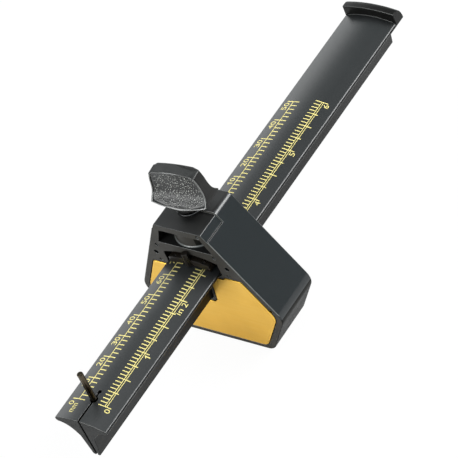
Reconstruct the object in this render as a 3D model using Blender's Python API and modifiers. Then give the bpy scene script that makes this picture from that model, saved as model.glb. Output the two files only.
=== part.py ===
"""Marking gauge: a T-section beam that slides through a shield-shaped head.

Metres, +Z up. The origin is the middle of the head's flat foot, the beam runs
along Y with its marking pin at -Y, and X is the width, about which the gauge
is symmetric.
"""

import math

import bmesh
import bpy
from mathutils import Matrix, Vector

# Beam: a crowned flange on a tapering web
BEAM_LENGTH = 0.2125
BEAM_WIDTH = 0.0236
BEAM_DEPTH = 0.0190
CROWN_RISE = 0.0019
FLANGE_TIP_THICKNESS = 0.0018
FLANGE_TIP_INSET = 0.0007
WEB_ROOT_DROP = 0.0092
WEB_ROOT_WIDTH = 0.0064
WEB_FOOT_WIDTH = 0.0035
WEB_FOOT_CHAMFER = 0.0005
UNDERSIDE_OUTER_PULL_SHARE = 0.56
UNDERSIDE_INNER_PULL_SHARE = 0.14
UNDERSIDE_DROP_SHARE = 0.50

# Scale and pin
ZERO_FROM_NEAR_END = 0.0091
PIN_FROM_ZERO = 0.0013
SLIT_WIDTH = 0.0008
SLIT_PAST_PIN = 0.0036
PIN_DIAMETER = 0.0023
PIN_LENGTH = 0.0310
PIN_STAND = 0.0143
PIN_POINT_LENGTH = 0.0030
PIN_POINT_WIDTH = 0.0003
PIN_TOP_CHAMFER = 0.0003

# Stop lip at the far end
LIP_LENGTH = 0.0050
LIP_HEIGHT = 0.0038
LIP_TOP_LENGTH = 0.0018
LIP_CROWN_RISE = 0.0011

# Head
HEAD_DEPTH = 0.0213
HEAD_HEIGHT = 0.0603
RAISED_STEP = 0.0010
HEAD_TOP_WIDTH = 0.0225
HEAD_FOOT_WIDTH = 0.0410
HEAD_WIDEST_WIDTH = 0.0653
HEAD_WIDEST_HEIGHT = 0.0206
TOP_RADIUS = 0.0012
WIDEST_RADIUS = 0.0065
FOOT_RADIUS = 0.0048
HEAD_EDGE_BEVEL = 0.0005
SADDLE_DROP = 0.0032
SADDLE_INSET = 0.0004
SADDLE_RADIUS = 0.0005
READING = 0.0674

# Opening for the beam, and the collar wall round it
CROWN_HEIGHT = 0.0428
RUNNING_CLEARANCE = 0.0004
OPENING_HEADROOM = 0.0045
COLLAR_WALL = 0.0013

# Window above the opening, with the screw's boss standing in it
WINDOW_FLOOR_WIDTH = 0.0244
WINDOW_TOP_WIDTH = 0.0186
WINDOW_HEIGHT = 0.0069
WINDOW_DEPTH = 0.0178
WINDOW_SILL = 0.0032
BOSS_DIAMETER = 0.0192

# Core holes in the near face
CORE_HOLE_DIAMETER = 0.0019
CORE_HOLE_DEPTH = 0.0060
CORE_HOLE_SPACING = 0.0324
CORE_HOLE_RISE = 0.0010

# Fence plate
PLATE_THICKNESS = 0.0015
PLATE_STAND = 0.0002
PLATE_TOP_DROP = 0.0048
PLATE_SIDE_MARGIN = 0.0028
PLATE_FOOT_MARGIN = 0.0023
PLATE_SHOULDER_RADIUS = 0.0014
PLATE_WIDEST_RADIUS = 0.0055
PLATE_FOOT_RADIUS = 0.0038
PLATE_EDGE_BEVEL = 0.0003
SEAT_GAP = 0.0003

# Pressure shoe
SHOE_THICKNESS = 0.0029
SHOE_WIDTH = 0.0184
SHOE_OVERHANG = 0.0015
SHOE_TAB_DIAMETER = 0.0025
SHOE_TAB_HEIGHT = 0.0068
SHOE_EYE_DIAMETER = 0.0012
SHOE_EYE_DEPTH = 0.0006
SHOE_EYE_SPACING = 0.0132

# Clamp screw, washer and knob
SCREW_DIAMETER = 0.0060
SCREW_GRIP = 0.0050
SCREW_TIP_LENGTH = 0.0010
SCREW_TIP_DIAMETER = 0.0040
WASHER_DIAMETER = 0.0110
WASHER_THICKNESS = 0.0010
KNOB_WIDTH = 0.0238
KNOB_HEIGHT = 0.0186
KNOB_THICKNESS = 0.0110
KNOB_DISH = 0.0007
KNOB_TURN_DEGREES = 6.0

# Cuts and facets
OVERRUN = 0.0020
WELD_DISTANCE = 0.00001
FLAT_ANGLE = math.radians(0.4)
SHARP_ANGLE = math.radians(32.0)
CROWN_STEPS = 14
CURVE_STEPS = 9
FILLET_STEPS = 7
LIP_STEPS = 6
ROUND_STEPS = 32
HOLE_STEPS = 14
KNOB_CORNER_STEPS = 6
KNOB_FACE_STEPS = 8

# Knob sections as shares: height, half width, half thickness, dish, corner radius of half thickness
KNOB_SECTION_SHARES = (
    (0.000, 0.412, 0.891, 0.0, 1.00),
    (0.054, 0.437, 0.927, 0.0, 1.00),
    (0.102, 0.496, 0.982, 0.0, 1.00),
    (0.151, 0.613, 1.018, 0.0, 0.95),
    (0.194, 0.765, 1.027, 0.0, 0.80),
    (0.231, 0.891, 1.000, 0.0, 0.50),
    (0.269, 0.983, 0.927, 0.0, 0.20),
    (0.306, 1.000, 0.818, 0.0, 0.14),
    (0.355, 0.992, 0.682, 0.5, 0.14),
    (0.414, 0.975, 0.573, 0.8, 0.16),
    (0.489, 0.954, 0.491, 1.0, 0.18),
    (0.597, 0.929, 0.455, 1.0, 0.20),
    (0.715, 0.903, 0.445, 1.0, 0.20),
    (0.812, 0.866, 0.445, 0.9, 0.20),
    (0.882, 0.832, 0.445, 0.6, 0.20),
    (0.919, 0.811, 0.445, 0.0, 0.20),
    (0.968, 0.773, 0.427, 0.0, 0.25),
    (1.000, 0.706, 0.345, 0.0, 0.30),
)
KNOB_DISH_RIM_SHARE = 0.94

# Places worked out from the sizes above
NEAR_FACE_Y = -HEAD_DEPTH / 2
FAR_FACE_Y = HEAD_DEPTH / 2
ZERO_Y = NEAR_FACE_Y - READING
BEAM_NEAR_Y = ZERO_Y - ZERO_FROM_NEAR_END
BEAM_FAR_Y = BEAM_NEAR_Y + BEAM_LENGTH
PIN_Y = ZERO_Y + PIN_FROM_ZERO
WINDOW_FLOOR_Z = CROWN_HEIGHT + OPENING_HEADROOM + WINDOW_SILL
SHOE_TOP_Z = CROWN_HEIGHT + SEAT_GAP + SHOE_THICKNESS
WASHER_Z = HEAD_HEIGHT + RAISED_STEP + SEAT_GAP
KNOB_Z = WASHER_Z + WASHER_THICKNESS + SEAT_GAP


def clear_scene():
    """Remove every object and the data it leaves behind."""
    for obj in list(bpy.data.objects):
        bpy.data.objects.remove(obj, do_unlink=True)
    for stale in list(bpy.data.collections):
        bpy.data.collections.remove(stale)


def make_collection(name):
    """Add a collection to the scene."""
    group = bpy.data.collections.new(name)
    bpy.context.scene.collection.children.link(group)
    return group


def make_material(name, colour, roughness, metallic):
    """A plain Principled finish."""
    material = bpy.data.materials.new(name)
    material.use_nodes = True
    shader = material.node_tree.nodes["Principled BSDF"]
    shader.inputs["Base Color"].default_value = (*colour, 1.0)
    shader.inputs["Roughness"].default_value = roughness
    shader.inputs["Metallic"].default_value = metallic
    material.diffuse_color = (*colour, 1.0)
    return material


def add_object(name, mesh, group, location=(0.0, 0.0, 0.0)):
    """Put a mesh in the scene at a place."""
    mesh.name = name
    obj = bpy.data.objects.new(name, mesh)
    obj.location = location
    group.objects.link(obj)
    return obj


def dress(obj, material):
    """Give an object its finish and smooth its rounded faces."""
    obj.data.materials.clear()
    obj.data.materials.append(material)
    obj.data.shade_smooth()
    obj.data.set_sharp_from_angle(angle=SHARP_ANGLE)


def hide_cutter(obj):
    """Show a cutter as wire only."""
    obj.hide_render = True
    obj.display_type = "WIRE"


def combine(target, other, operation):
    """Join to, or cut from, a body with another one."""
    modifier = target.modifiers.new(f"{operation.title()} {other.name}", "BOOLEAN")
    modifier.operation = operation
    modifier.solver = "EXACT"
    modifier.object = other


def round_edges(obj, width, steps, angle_degrees):
    """Bevel the edges that are sharper than an angle."""
    modifier = obj.modifiers.new("Rounded edges", "BEVEL")
    modifier.limit_method = "ANGLE"
    modifier.angle_limit = math.radians(angle_degrees)
    modifier.width = width
    modifier.segments = steps


def parent_in_place(child, parent):
    """Hang one object on another that is neither turned nor scaled."""
    child.parent = parent
    child.location = child.location - parent.location


def prism(outline, near_y, far_y):
    """A flat outline in X and Z, filled and extruded along Y, as a mesh."""
    curve = bpy.data.curves.new("outline", "CURVE")
    curve.dimensions = "2D"
    curve.fill_mode = "BOTH"
    curve.extrude = (far_y - near_y) / 2
    spline = curve.splines.new("POLY")
    spline.points.add(len(outline) - 1)
    for point, (x, z) in zip(spline.points, outline):
        point.co = (x, z, 0.0, 1.0)
    spline.use_cyclic_u = True
    holder = bpy.data.objects.new("outline", curve)
    bpy.context.scene.collection.objects.link(holder)
    depsgraph = bpy.context.evaluated_depsgraph_get()
    mesh = bpy.data.meshes.new_from_object(holder.evaluated_get(depsgraph))
    bpy.data.objects.remove(holder, do_unlink=True)
    bpy.data.curves.remove(curve)
    mesh.transform(Matrix.Translation((0.0, (near_y + far_y) / 2, 0.0)) @ Matrix.Rotation(math.pi / 2, 4, "X"))
    shape = bmesh.new()
    shape.from_mesh(mesh)
    bmesh.ops.remove_doubles(shape, verts=shape.verts, dist=WELD_DISTANCE)
    bmesh.ops.dissolve_limit(shape, angle_limit=FLAT_ANGLE, verts=shape.verts, edges=shape.edges)
    bmesh.ops.recalc_face_normals(shape, faces=shape.faces)
    shape.to_mesh(mesh)
    shape.free()
    return mesh


def rod(lower_radius, upper_radius, low_z, high_z, steps, centre=(0.0, 0.0)):
    """An upright cylinder or cone as a mesh."""
    mesh = bpy.data.meshes.new("rod")
    shape = bmesh.new()
    place = Matrix.Translation((centre[0], centre[1], (low_z + high_z) / 2))
    bmesh.ops.create_cone(
        shape,
        cap_ends=True,
        segments=steps,
        radius1=lower_radius,
        radius2=upper_radius,
        depth=high_z - low_z,
        matrix=place,
    )
    shape.to_mesh(mesh)
    shape.free()
    return mesh


def block(low, high):
    """A box between two corners as a mesh."""
    mesh = bpy.data.meshes.new("block")
    shape = bmesh.new()
    size = Vector(high) - Vector(low)
    middle = (Vector(high) + Vector(low)) / 2
    place = Matrix.Translation(middle) @ Matrix.Diagonal((*size, 1.0))
    bmesh.ops.create_cube(shape, size=1.0, matrix=place)
    shape.to_mesh(mesh)
    shape.free()
    return mesh


def loft(name, rings):
    """A body skinned over closed rings of points, capped at both ends, as a mesh."""
    mesh = bpy.data.meshes.new(name)
    shape = bmesh.new()
    loops = [[shape.verts.new(point) for point in ring] for ring in rings]
    for lower, upper in zip(loops, loops[1:]):
        for step in range(len(lower)):
            following = (step + 1) % len(lower)
            shape.faces.new((lower[step], lower[following], upper[following], upper[step]))
    shape.faces.new(list(reversed(loops[0])))
    shape.faces.new(loops[-1])
    bmesh.ops.recalc_face_normals(shape, faces=shape.faces)
    shape.to_mesh(mesh)
    shape.free()
    return mesh


def turned(name, profile, group, location, closed=False):
    """A body turned about Z from a profile whose outer side runs from top to bottom."""
    mesh = bpy.data.meshes.new(name)
    shape = bmesh.new()
    points = [shape.verts.new((radius, 0.0, z)) for radius, z in profile]
    ends = points[1:] + points[:1] if closed else points[1:]
    for first, second in zip(points, ends):
        shape.edges.new((first, second))
    shape.to_mesh(mesh)
    shape.free()
    obj = add_object(name, mesh, group, location)
    screw = obj.modifiers.new("Turn", "SCREW")
    screw.axis = "Z"
    screw.steps = ROUND_STEPS
    screw.render_steps = ROUND_STEPS
    screw.use_merge_vertices = True
    screw.merge_threshold = WELD_DISTANCE
    return obj


def mirrored(right_half):
    """A closed outline from its right half, given from top to bottom."""
    return right_half + [(-x, z) for x, z in reversed(right_half) if x > WELD_DISTANCE]


def filleted(corners):
    """Round the corners of a closed outline, each given as x, z and radius."""
    points = []
    for index, (x, z, radius) in enumerate(corners):
        corner = Vector((x, z))
        before = Vector(corners[index - 1][:2]) - corner
        after = Vector(corners[(index + 1) % len(corners)][:2]) - corner
        if radius <= 0:
            points.append((x, z))
            continue
        before.normalize()
        after.normalize()
        half_angle = before.angle(after) / 2
        centre = corner + (before + after).normalized() * (radius / math.sin(half_angle))
        start = corner + before * (radius / math.tan(half_angle)) - centre
        sweep = start.angle_signed(corner + after * (radius / math.tan(half_angle)) - centre)
        for step in range(FILLET_STEPS + 1):
            turn = -sweep * step / FILLET_STEPS
            cosine, sine = math.cos(turn), math.sin(turn)
            spoke = Vector((start.x * cosine - start.y * sine, start.x * sine + start.y * cosine))
            points.append(tuple(centre + spoke))
    return points


def crown_drop(x):
    """How far the beam's crown has fallen at a distance from its middle."""
    half_width = BEAM_WIDTH / 2
    radius = (half_width**2 + CROWN_RISE**2) / (2 * CROWN_RISE)
    return radius - math.sqrt(radius**2 - x**2)


def crown_arc(half_width, height):
    """Points along a line parallel to the crown, from the middle to the right."""
    points = []
    for step in range(CROWN_STEPS // 2 + 1):
        x = half_width * step / (CROWN_STEPS // 2)
        points.append((x, height - crown_drop(min(x, BEAM_WIDTH / 2))))
    return points


def underside(gap):
    """The flange's hollow underside and the web, from the right tip down to the middle."""
    tip_x = BEAM_WIDTH / 2
    tip_z = -CROWN_RISE - FLANGE_TIP_THICKNESS
    root_x = WEB_ROOT_WIDTH / 2
    foot_x = WEB_FOOT_WIDTH / 2
    start = Vector((tip_x - FLANGE_TIP_INSET, tip_z))
    end = Vector((root_x, -WEB_ROOT_DROP))
    first_pull = Vector((tip_x * UNDERSIDE_OUTER_PULL_SHARE, tip_z))
    second_pull = Vector(
        (
            root_x + tip_x * UNDERSIDE_INNER_PULL_SHARE,
            tip_z - (WEB_ROOT_DROP + tip_z) * UNDERSIDE_DROP_SHARE,
        )
    )
    points = [Vector((tip_x, tip_z + FLANGE_TIP_INSET))]
    for step in range(CURVE_STEPS + 1):
        t = step / CURVE_STEPS
        near, far = 1 - t, t
        points.append(
            start * near**3
            + first_pull * (3 * near**2 * far)
            + second_pull * (3 * near * far**2)
            + end * far**3
        )
    points.append(Vector((foot_x, -BEAM_DEPTH + WEB_FOOT_CHAMFER)))
    points.append(Vector((foot_x - WEB_FOOT_CHAMFER, -BEAM_DEPTH)))
    points.append(Vector((0.0, -BEAM_DEPTH)))
    if gap == 0:
        return [tuple(point) for point in points]
    return grown(points, gap)


def grown(points, gap):
    """Move an open line outward, with the first point on a wall and the last on the middle."""
    moved = []
    for index, point in enumerate(points):
        before = points[index - 1] if index else point + Vector((0.0, gap))
        after = points[index + 1] if index + 1 < len(points) else point - Vector((gap, 0.0))
        back = (point - before).normalized()
        ahead = (after - point).normalized()
        first_normal = Vector((-back.y, back.x))
        second_normal = Vector((-ahead.y, ahead.x))
        middle = (first_normal + second_normal).normalized()
        moved.append(tuple(point + middle * (gap / middle.dot(first_normal))))
    return moved


def beam_outline(gap, headroom):
    """The beam's T section, grown by a gap all round, with room over its crown."""
    half_width = BEAM_WIDTH / 2 + gap
    right = crown_arc(half_width, headroom) + underside(gap)
    return mirrored(right)


def head_outline(top_z, margin, top_radius, widest_radius, foot_radius):
    """The head's shield outline, drawn in by a margin."""
    top_x = HEAD_TOP_WIDTH / 2
    widest_x = HEAD_WIDEST_WIDTH / 2
    foot_x = HEAD_FOOT_WIDTH / 2
    lean = (widest_x - top_x) / (HEAD_HEIGHT - HEAD_WIDEST_HEIGHT)
    undercut = (widest_x - foot_x) / HEAD_WIDEST_HEIGHT
    upper_inset = margin * math.hypot(1, lean)
    lower_inset = margin * math.hypot(1, undercut)
    middle_z = HEAD_WIDEST_HEIGHT - (upper_inset - lower_inset) / (lean + undercut)

    def upper_x(z):
        return widest_x - upper_inset - lean * (z - HEAD_WIDEST_HEIGHT)

    def lower_x(z):
        return foot_x - lower_inset + undercut * z

    right = [
        (upper_x(top_z), top_z, top_radius),
        (upper_x(middle_z), middle_z, widest_radius),
        (lower_x(margin_floor(margin)), margin_floor(margin), foot_radius),
    ]
    left = [(-x, z, radius) for x, z, radius in reversed(right)]
    return filleted(right + left)


def margin_floor(margin):
    """Height of an inset outline's lower edge."""
    return PLATE_FOOT_MARGIN * margin / PLATE_SIDE_MARGIN


def plate_outline(gap):
    """The fence plate's outer outline, grown by a gap."""
    return head_outline(
        CROWN_HEIGHT - PLATE_TOP_DROP + gap,
        PLATE_SIDE_MARGIN - gap,
        PLATE_SHOULDER_RADIUS + gap,
        PLATE_WIDEST_RADIUS + gap,
        PLATE_FOOT_RADIUS + gap,
    )


def lifted(outline, height):
    """An outline moved up."""
    return [(x, z + height) for x, z in outline]


def lip_ring(x):
    """The stop lip's outline in Y and Z at a distance from the beam's middle."""
    crown = -crown_drop(x)
    rise = LIP_HEIGHT - LIP_CROWN_RISE * (2 * x / BEAM_WIDTH) ** 2 - crown
    near_y = BEAM_FAR_Y - LIP_LENGTH
    shoulder_y = near_y + LIP_TOP_LENGTH
    root = crown - FLANGE_TIP_THICKNESS / 2
    ring = [(x, BEAM_FAR_Y, root), (x, near_y, root), (x, near_y, crown + rise)]
    for step in range(LIP_STEPS + 1):
        turn = math.pi / 2 * step / LIP_STEPS
        y = shoulder_y + (BEAM_FAR_Y - shoulder_y) * math.sin(turn)
        ring.append((x, y, crown + rise * math.cos(turn)))
    return ring


def build_beam(group, cutters, material):
    """Crowned flange, web, stop lip, and the slit and bore that hold the pin."""
    outline = beam_outline(0.0, 0.0)
    beam = add_object("beam", prism(outline, BEAM_NEAR_Y, BEAM_FAR_Y), group, (0.0, 0.0, CROWN_HEIGHT))

    across = [BEAM_WIDTH * (step / CROWN_STEPS - 1 / 2) for step in range(CROWN_STEPS + 1)]
    lip = add_object("lip", loft("lip", [lip_ring(x) for x in across]), cutters, beam.location)
    combine(beam, lip, "UNION")

    slit_half = SLIT_WIDTH / 2
    slit_mesh = block(
        (-slit_half, BEAM_NEAR_Y - OVERRUN, -BEAM_DEPTH - OVERRUN),
        (slit_half, PIN_Y + SLIT_PAST_PIN, OVERRUN),
    )
    slit = add_object("slit", slit_mesh, cutters, beam.location)
    bore_radius = PIN_DIAMETER / 2 + SEAT_GAP
    bore_mesh = rod(bore_radius, bore_radius, -BEAM_DEPTH - OVERRUN, OVERRUN, HOLE_STEPS, (0.0, PIN_Y))
    bore = add_object("pin_bore", bore_mesh, cutters, beam.location)
    combine(beam, slit, "DIFFERENCE")
    combine(beam, bore, "DIFFERENCE")
    for cutter in (lip, slit, bore):
        hide_cutter(cutter)
    dress(beam, material)
    return beam


def build_pin(group, material):
    """The steel marking pin, pointed at its lower end."""
    radius = PIN_DIAMETER / 2
    bottom = PIN_STAND - PIN_LENGTH
    profile = [
        (0.0, PIN_STAND),
        (radius - PIN_TOP_CHAMFER, PIN_STAND),
        (radius, PIN_STAND - PIN_TOP_CHAMFER),
        (radius, bottom + PIN_POINT_LENGTH),
        (PIN_POINT_WIDTH / 2, bottom),
        (0.0, bottom),
    ]
    pin = turned("marking_pin", profile, group, (0.0, PIN_Y, CROWN_HEIGHT))
    dress(pin, material)
    return pin


def saddle_outline():
    """What is cut away over the near half: the top step and the skin of both shoulders."""
    lean = (HEAD_WIDEST_WIDTH - HEAD_TOP_WIDTH) / 2 / (HEAD_HEIGHT - HEAD_WIDEST_HEIGHT)
    floor_z = HEAD_HEIGHT - SADDLE_DROP
    outer_x = HEAD_WIDEST_WIDTH / 2
    top_x = HEAD_TOP_WIDTH / 2 - SADDLE_INSET
    low_x = top_x + lean * SADDLE_DROP
    right = [
        (outer_x, HEAD_HEIGHT + RAISED_STEP + OVERRUN, 0.0),
        (outer_x, floor_z, 0.0),
        (low_x, floor_z, 0.0),
        (top_x, HEAD_HEIGHT, SADDLE_RADIUS),
    ]
    return filleted(right + [(-x, z, radius) for x, z, radius in reversed(right)])


def build_head(group, cutters, material):
    """The moulded head with its beam opening, window, boss, plate recess and bores."""
    outline = head_outline(HEAD_HEIGHT + RAISED_STEP, 0.0, TOP_RADIUS, WIDEST_RADIUS, FOOT_RADIUS)
    head = add_object("head_body", prism(outline, NEAR_FACE_Y, FAR_FACE_Y), group)
    round_edges(head, HEAD_EDGE_BEVEL, 2, 60.0)

    saddle_mesh = prism(saddle_outline(), NEAR_FACE_Y - OVERRUN, 0.0)
    saddle = add_object("saddle_step", saddle_mesh, cutters)

    opening_outline = lifted(beam_outline(RUNNING_CLEARANCE, OPENING_HEADROOM), CROWN_HEIGHT)
    opening_mesh = prism(opening_outline, NEAR_FACE_Y - OVERRUN, FAR_FACE_Y + OVERRUN)
    opening = add_object("beam_opening", opening_mesh, cutters)

    floor_x = WINDOW_FLOOR_WIDTH / 2
    top_x = WINDOW_TOP_WIDTH / 2
    top_z = WINDOW_FLOOR_Z + WINDOW_HEIGHT
    window_outline = [(-floor_x, WINDOW_FLOOR_Z), (-top_x, top_z), (top_x, top_z), (floor_x, WINDOW_FLOOR_Z)]
    window_mesh = prism(window_outline, NEAR_FACE_Y - OVERRUN, NEAR_FACE_Y + WINDOW_DEPTH)
    window = add_object("window", window_mesh, cutters)
    boss_radius = BOSS_DIAMETER / 2
    boss_mesh = rod(boss_radius, boss_radius, WINDOW_FLOOR_Z - OVERRUN, top_z + OVERRUN, ROUND_STEPS)
    boss = add_object("boss", boss_mesh, cutters)
    combine(window, boss, "DIFFERENCE")

    recess_depth = PLATE_THICKNESS + SEAT_GAP - PLATE_STAND
    recess_mesh = prism(plate_outline(SEAT_GAP), NEAR_FACE_Y - OVERRUN, NEAR_FACE_Y + recess_depth)
    recess = add_object("plate_recess", recess_mesh, cutters)
    collar_gap = RUNNING_CLEARANCE + COLLAR_WALL
    collar_outline = lifted(beam_outline(collar_gap, 0.0), CROWN_HEIGHT)
    collar_mesh = prism(collar_outline, NEAR_FACE_Y - 2 * OVERRUN, NEAR_FACE_Y + 2 * OVERRUN)
    collar = add_object("collar", collar_mesh, cutters)
    combine(recess, collar, "DIFFERENCE")

    screw_radius = SCREW_DIAMETER / 2 + SEAT_GAP
    screw_mesh = rod(screw_radius, screw_radius, CROWN_HEIGHT, HEAD_HEIGHT + 2 * OVERRUN, ROUND_STEPS)
    screw_bore = add_object("screw_bore", screw_mesh, cutters)

    cuts = [saddle, opening, window, recess, screw_bore]
    hole_radius = CORE_HOLE_DIAMETER / 2
    for side, label in ((-1, "left"), (1, "right")):
        hole_mesh = rod(hole_radius, hole_radius, -CORE_HOLE_DEPTH, OVERRUN, HOLE_STEPS)
        hole_mesh.transform(Matrix.Rotation(math.pi / 2, 4, "X"))
        hole_z = CROWN_HEIGHT + CORE_HOLE_RISE
        place = (side * CORE_HOLE_SPACING / 2, NEAR_FACE_Y, hole_z)
        cuts.append(add_object(f"core_hole_{label}", hole_mesh, cutters, place))
    for cutter in cuts:
        combine(head, cutter, "DIFFERENCE")
    for cutter in cuts + [boss, collar]:
        hide_cutter(cutter)
    dress(head, material)
    return head


def build_plate(group, cutters, material):
    """The brass fence plate, notched round the collar."""
    face_y = NEAR_FACE_Y - PLATE_STAND
    plate = add_object("fence_plate", prism(plate_outline(0.0), face_y, face_y + PLATE_THICKNESS), group)
    notch_gap = RUNNING_CLEARANCE + COLLAR_WALL + SEAT_GAP
    notch_outline = lifted(beam_outline(notch_gap, 0.0), CROWN_HEIGHT)
    notch_mesh = prism(notch_outline, face_y - OVERRUN, face_y + PLATE_THICKNESS + OVERRUN)
    notch = add_object("plate_notch", notch_mesh, cutters)
    combine(plate, notch, "DIFFERENCE")
    round_edges(plate, PLATE_EDGE_BEVEL, 2, 50.0)
    hide_cutter(notch)
    dress(plate, material)
    return plate


def build_shoe(group, cutters, material):
    """The arched shoe that the screw presses on the beam, with a tab at each end."""
    half_width = SHOE_WIDTH / 2
    upper = crown_arc(half_width, SEAT_GAP + SHOE_THICKNESS)
    lower = crown_arc(half_width, SEAT_GAP)
    right = upper + list(reversed(lower))
    outline = right + [(-x, z) for x, z in reversed(right[1:-1])]
    near_y = NEAR_FACE_Y - SHOE_OVERHANG
    far_y = FAR_FACE_Y + SHOE_OVERHANG
    shoe = add_object("pressure_shoe", prism(outline, near_y, far_y), group, (0.0, 0.0, CROWN_HEIGHT))
    tab_radius = SHOE_TAB_DIAMETER / 2
    eye_radius = SHOE_EYE_DIAMETER / 2
    helpers = []
    for end_y, label in ((near_y, "near"), (far_y, "far")):
        tab_mesh = rod(tab_radius, tab_radius, 2 * SEAT_GAP, SHOE_TAB_HEIGHT, HOLE_STEPS, (0.0, end_y))
        tab = add_object(f"shoe_tab_{label}", tab_mesh, cutters, shoe.location)
        combine(shoe, tab, "UNION")
        helpers.append(tab)
    eye_x = SHOE_EYE_SPACING / 2
    eye_top = SEAT_GAP + SHOE_THICKNESS - crown_drop(eye_x)
    for side, label in ((-1, "left"), (1, "right")):
        eye_place = (side * eye_x, near_y + SHOE_OVERHANG / 2)
        eye_mesh = rod(eye_radius, eye_radius, eye_top - SHOE_EYE_DEPTH, eye_top + OVERRUN, HOLE_STEPS, eye_place)
        eye = add_object(f"shoe_eye_{label}", eye_mesh, cutters, shoe.location)
        combine(shoe, eye, "DIFFERENCE")
        helpers.append(eye)
    for helper in helpers:
        hide_cutter(helper)
    dress(shoe, material)
    return shoe


def build_screw(group, material):
    """The clamp screw's stud, from inside the knob down to the shoe."""
    radius = SCREW_DIAMETER / 2
    tip_radius = SCREW_TIP_DIAMETER / 2
    top = KNOB_Z + SCREW_GRIP
    bottom = SHOE_TOP_Z + SEAT_GAP
    profile = [
        (0.0, top),
        (radius, top),
        (radius, bottom + SCREW_TIP_LENGTH),
        (tip_radius, bottom),
        (0.0, bottom),
    ]
    screw = turned("clamp_screw", profile, group, (0.0, 0.0, 0.0))
    dress(screw, material)
    return screw


def build_washer(group, material):
    """The washer between the knob and the head's top."""
    outer = WASHER_DIAMETER / 2
    inner = SCREW_DIAMETER / 2 + SEAT_GAP
    low, high = WASHER_Z, WASHER_Z + WASHER_THICKNESS
    profile = [(inner, high), (outer, high), (outer, low), (inner, low)]
    washer = turned("knob_washer", profile, group, (0.0, 0.0, 0.0), closed=True)
    dress(washer, material)
    return washer


def knob_ring(half_width, half_thickness, dish, corner):
    """One level section of the knob, a rounded oblong with both broad faces hollowed."""
    across = half_width - corner
    along = half_thickness - corner
    front = []
    for side, start in ((1, 0.0), (-1, math.pi / 2)):
        for step in range(KNOB_CORNER_STEPS + 1):
            turn = start + math.pi / 2 * step / KNOB_CORNER_STEPS
            front.append((side * across + corner * math.cos(turn), along + corner * math.sin(turn)))
        if side == 1:
            for step in range(1, KNOB_FACE_STEPS):
                share = 1 - 2 * step / KNOB_FACE_STEPS
                hollow = max(0.0, 1 - (share / KNOB_DISH_RIM_SHARE) ** 2) * dish
                front.append((share * across, half_thickness - hollow))
    return front + [(-x, -y) for x, y in front]


def build_knob(group, cutters, material):
    """The thumb knob: a round hub that spreads into a thin hollow-faced wing."""
    rings = []
    for height, width, thickness, dish, corner in KNOB_SECTION_SHARES:
        level = height * KNOB_HEIGHT
        half_thickness = thickness * KNOB_THICKNESS / 2
        section = knob_ring(
            width * KNOB_WIDTH / 2,
            half_thickness,
            dish * KNOB_DISH,
            corner * half_thickness,
        )
        rings.append([(x, y, level) for x, y in section])
    knob = add_object("thumb_knob", loft("thumb_knob", rings), group, (0.0, 0.0, KNOB_Z))
    knob.rotation_euler.z = math.radians(KNOB_TURN_DEGREES)
    bore_radius = SCREW_DIAMETER / 2 + SEAT_GAP
    bore_mesh = rod(bore_radius, bore_radius, -OVERRUN, SCREW_GRIP + SEAT_GAP, ROUND_STEPS)
    bore = add_object("knob_bore", bore_mesh, cutters, knob.location)
    combine(knob, bore, "DIFFERENCE")
    hide_cutter(bore)
    dress(knob, material)
    return knob


def main():
    """Build the gauge and hang the moving pieces on what carries them."""
    clear_scene()
    group = make_collection("marking_gauge")
    cutters = make_collection("cutters")
    head_black = make_material("head_black_plastic", (0.028, 0.034, 0.038), 0.35, 0.0)
    beam_black = make_material("beam_black_plastic", (0.036, 0.038, 0.040), 0.38, 0.0)
    brass = make_material("fence_brass", (0.64, 0.40, 0.07), 0.42, 0.9)
    knob_black = make_material("knob_grained_plastic", (0.030, 0.031, 0.032), 0.50, 0.0)
    pin_steel = make_material("pin_dark_steel", (0.11, 0.10, 0.095), 0.30, 1.0)
    screw_steel = make_material("screw_steel", (0.45, 0.45, 0.46), 0.32, 1.0)
    washer_steel = make_material("washer_dark_steel", (0.07, 0.07, 0.075), 0.30, 1.0)
    shoe_grey = make_material("shoe_grey_plastic", (0.045, 0.045, 0.045), 0.50, 0.0)

    build_head(group, cutters, head_black)
    build_plate(group, cutters, brass)
    beam = build_beam(group, cutters, beam_black)
    pin = build_pin(group, pin_steel)
    shoe = build_shoe(group, cutters, shoe_grey)
    screw = build_screw(group, screw_steel)
    washer = build_washer(group, washer_steel)
    build_knob(group, cutters, knob_black)
    parent_in_place(pin, beam)
    parent_in_place(screw, shoe)
    parent_in_place(washer, shoe)
    bpy.context.view_layer.update()


if __name__ == "__main__":
    main()
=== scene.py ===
"""Marking gauge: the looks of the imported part, its studio and its camera.

Metres, +Z up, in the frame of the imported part. The beam runs along Y with its
pin at -Y, X is the width, and the origin is the middle of the head's flat foot.
"""

import logging
import math
from collections.abc import Callable, Iterable, Mapping, Sequence
from dataclasses import dataclass, field
from enum import Enum

import bmesh
import bpy
from mathutils import Euler, Matrix, Vector


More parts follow.
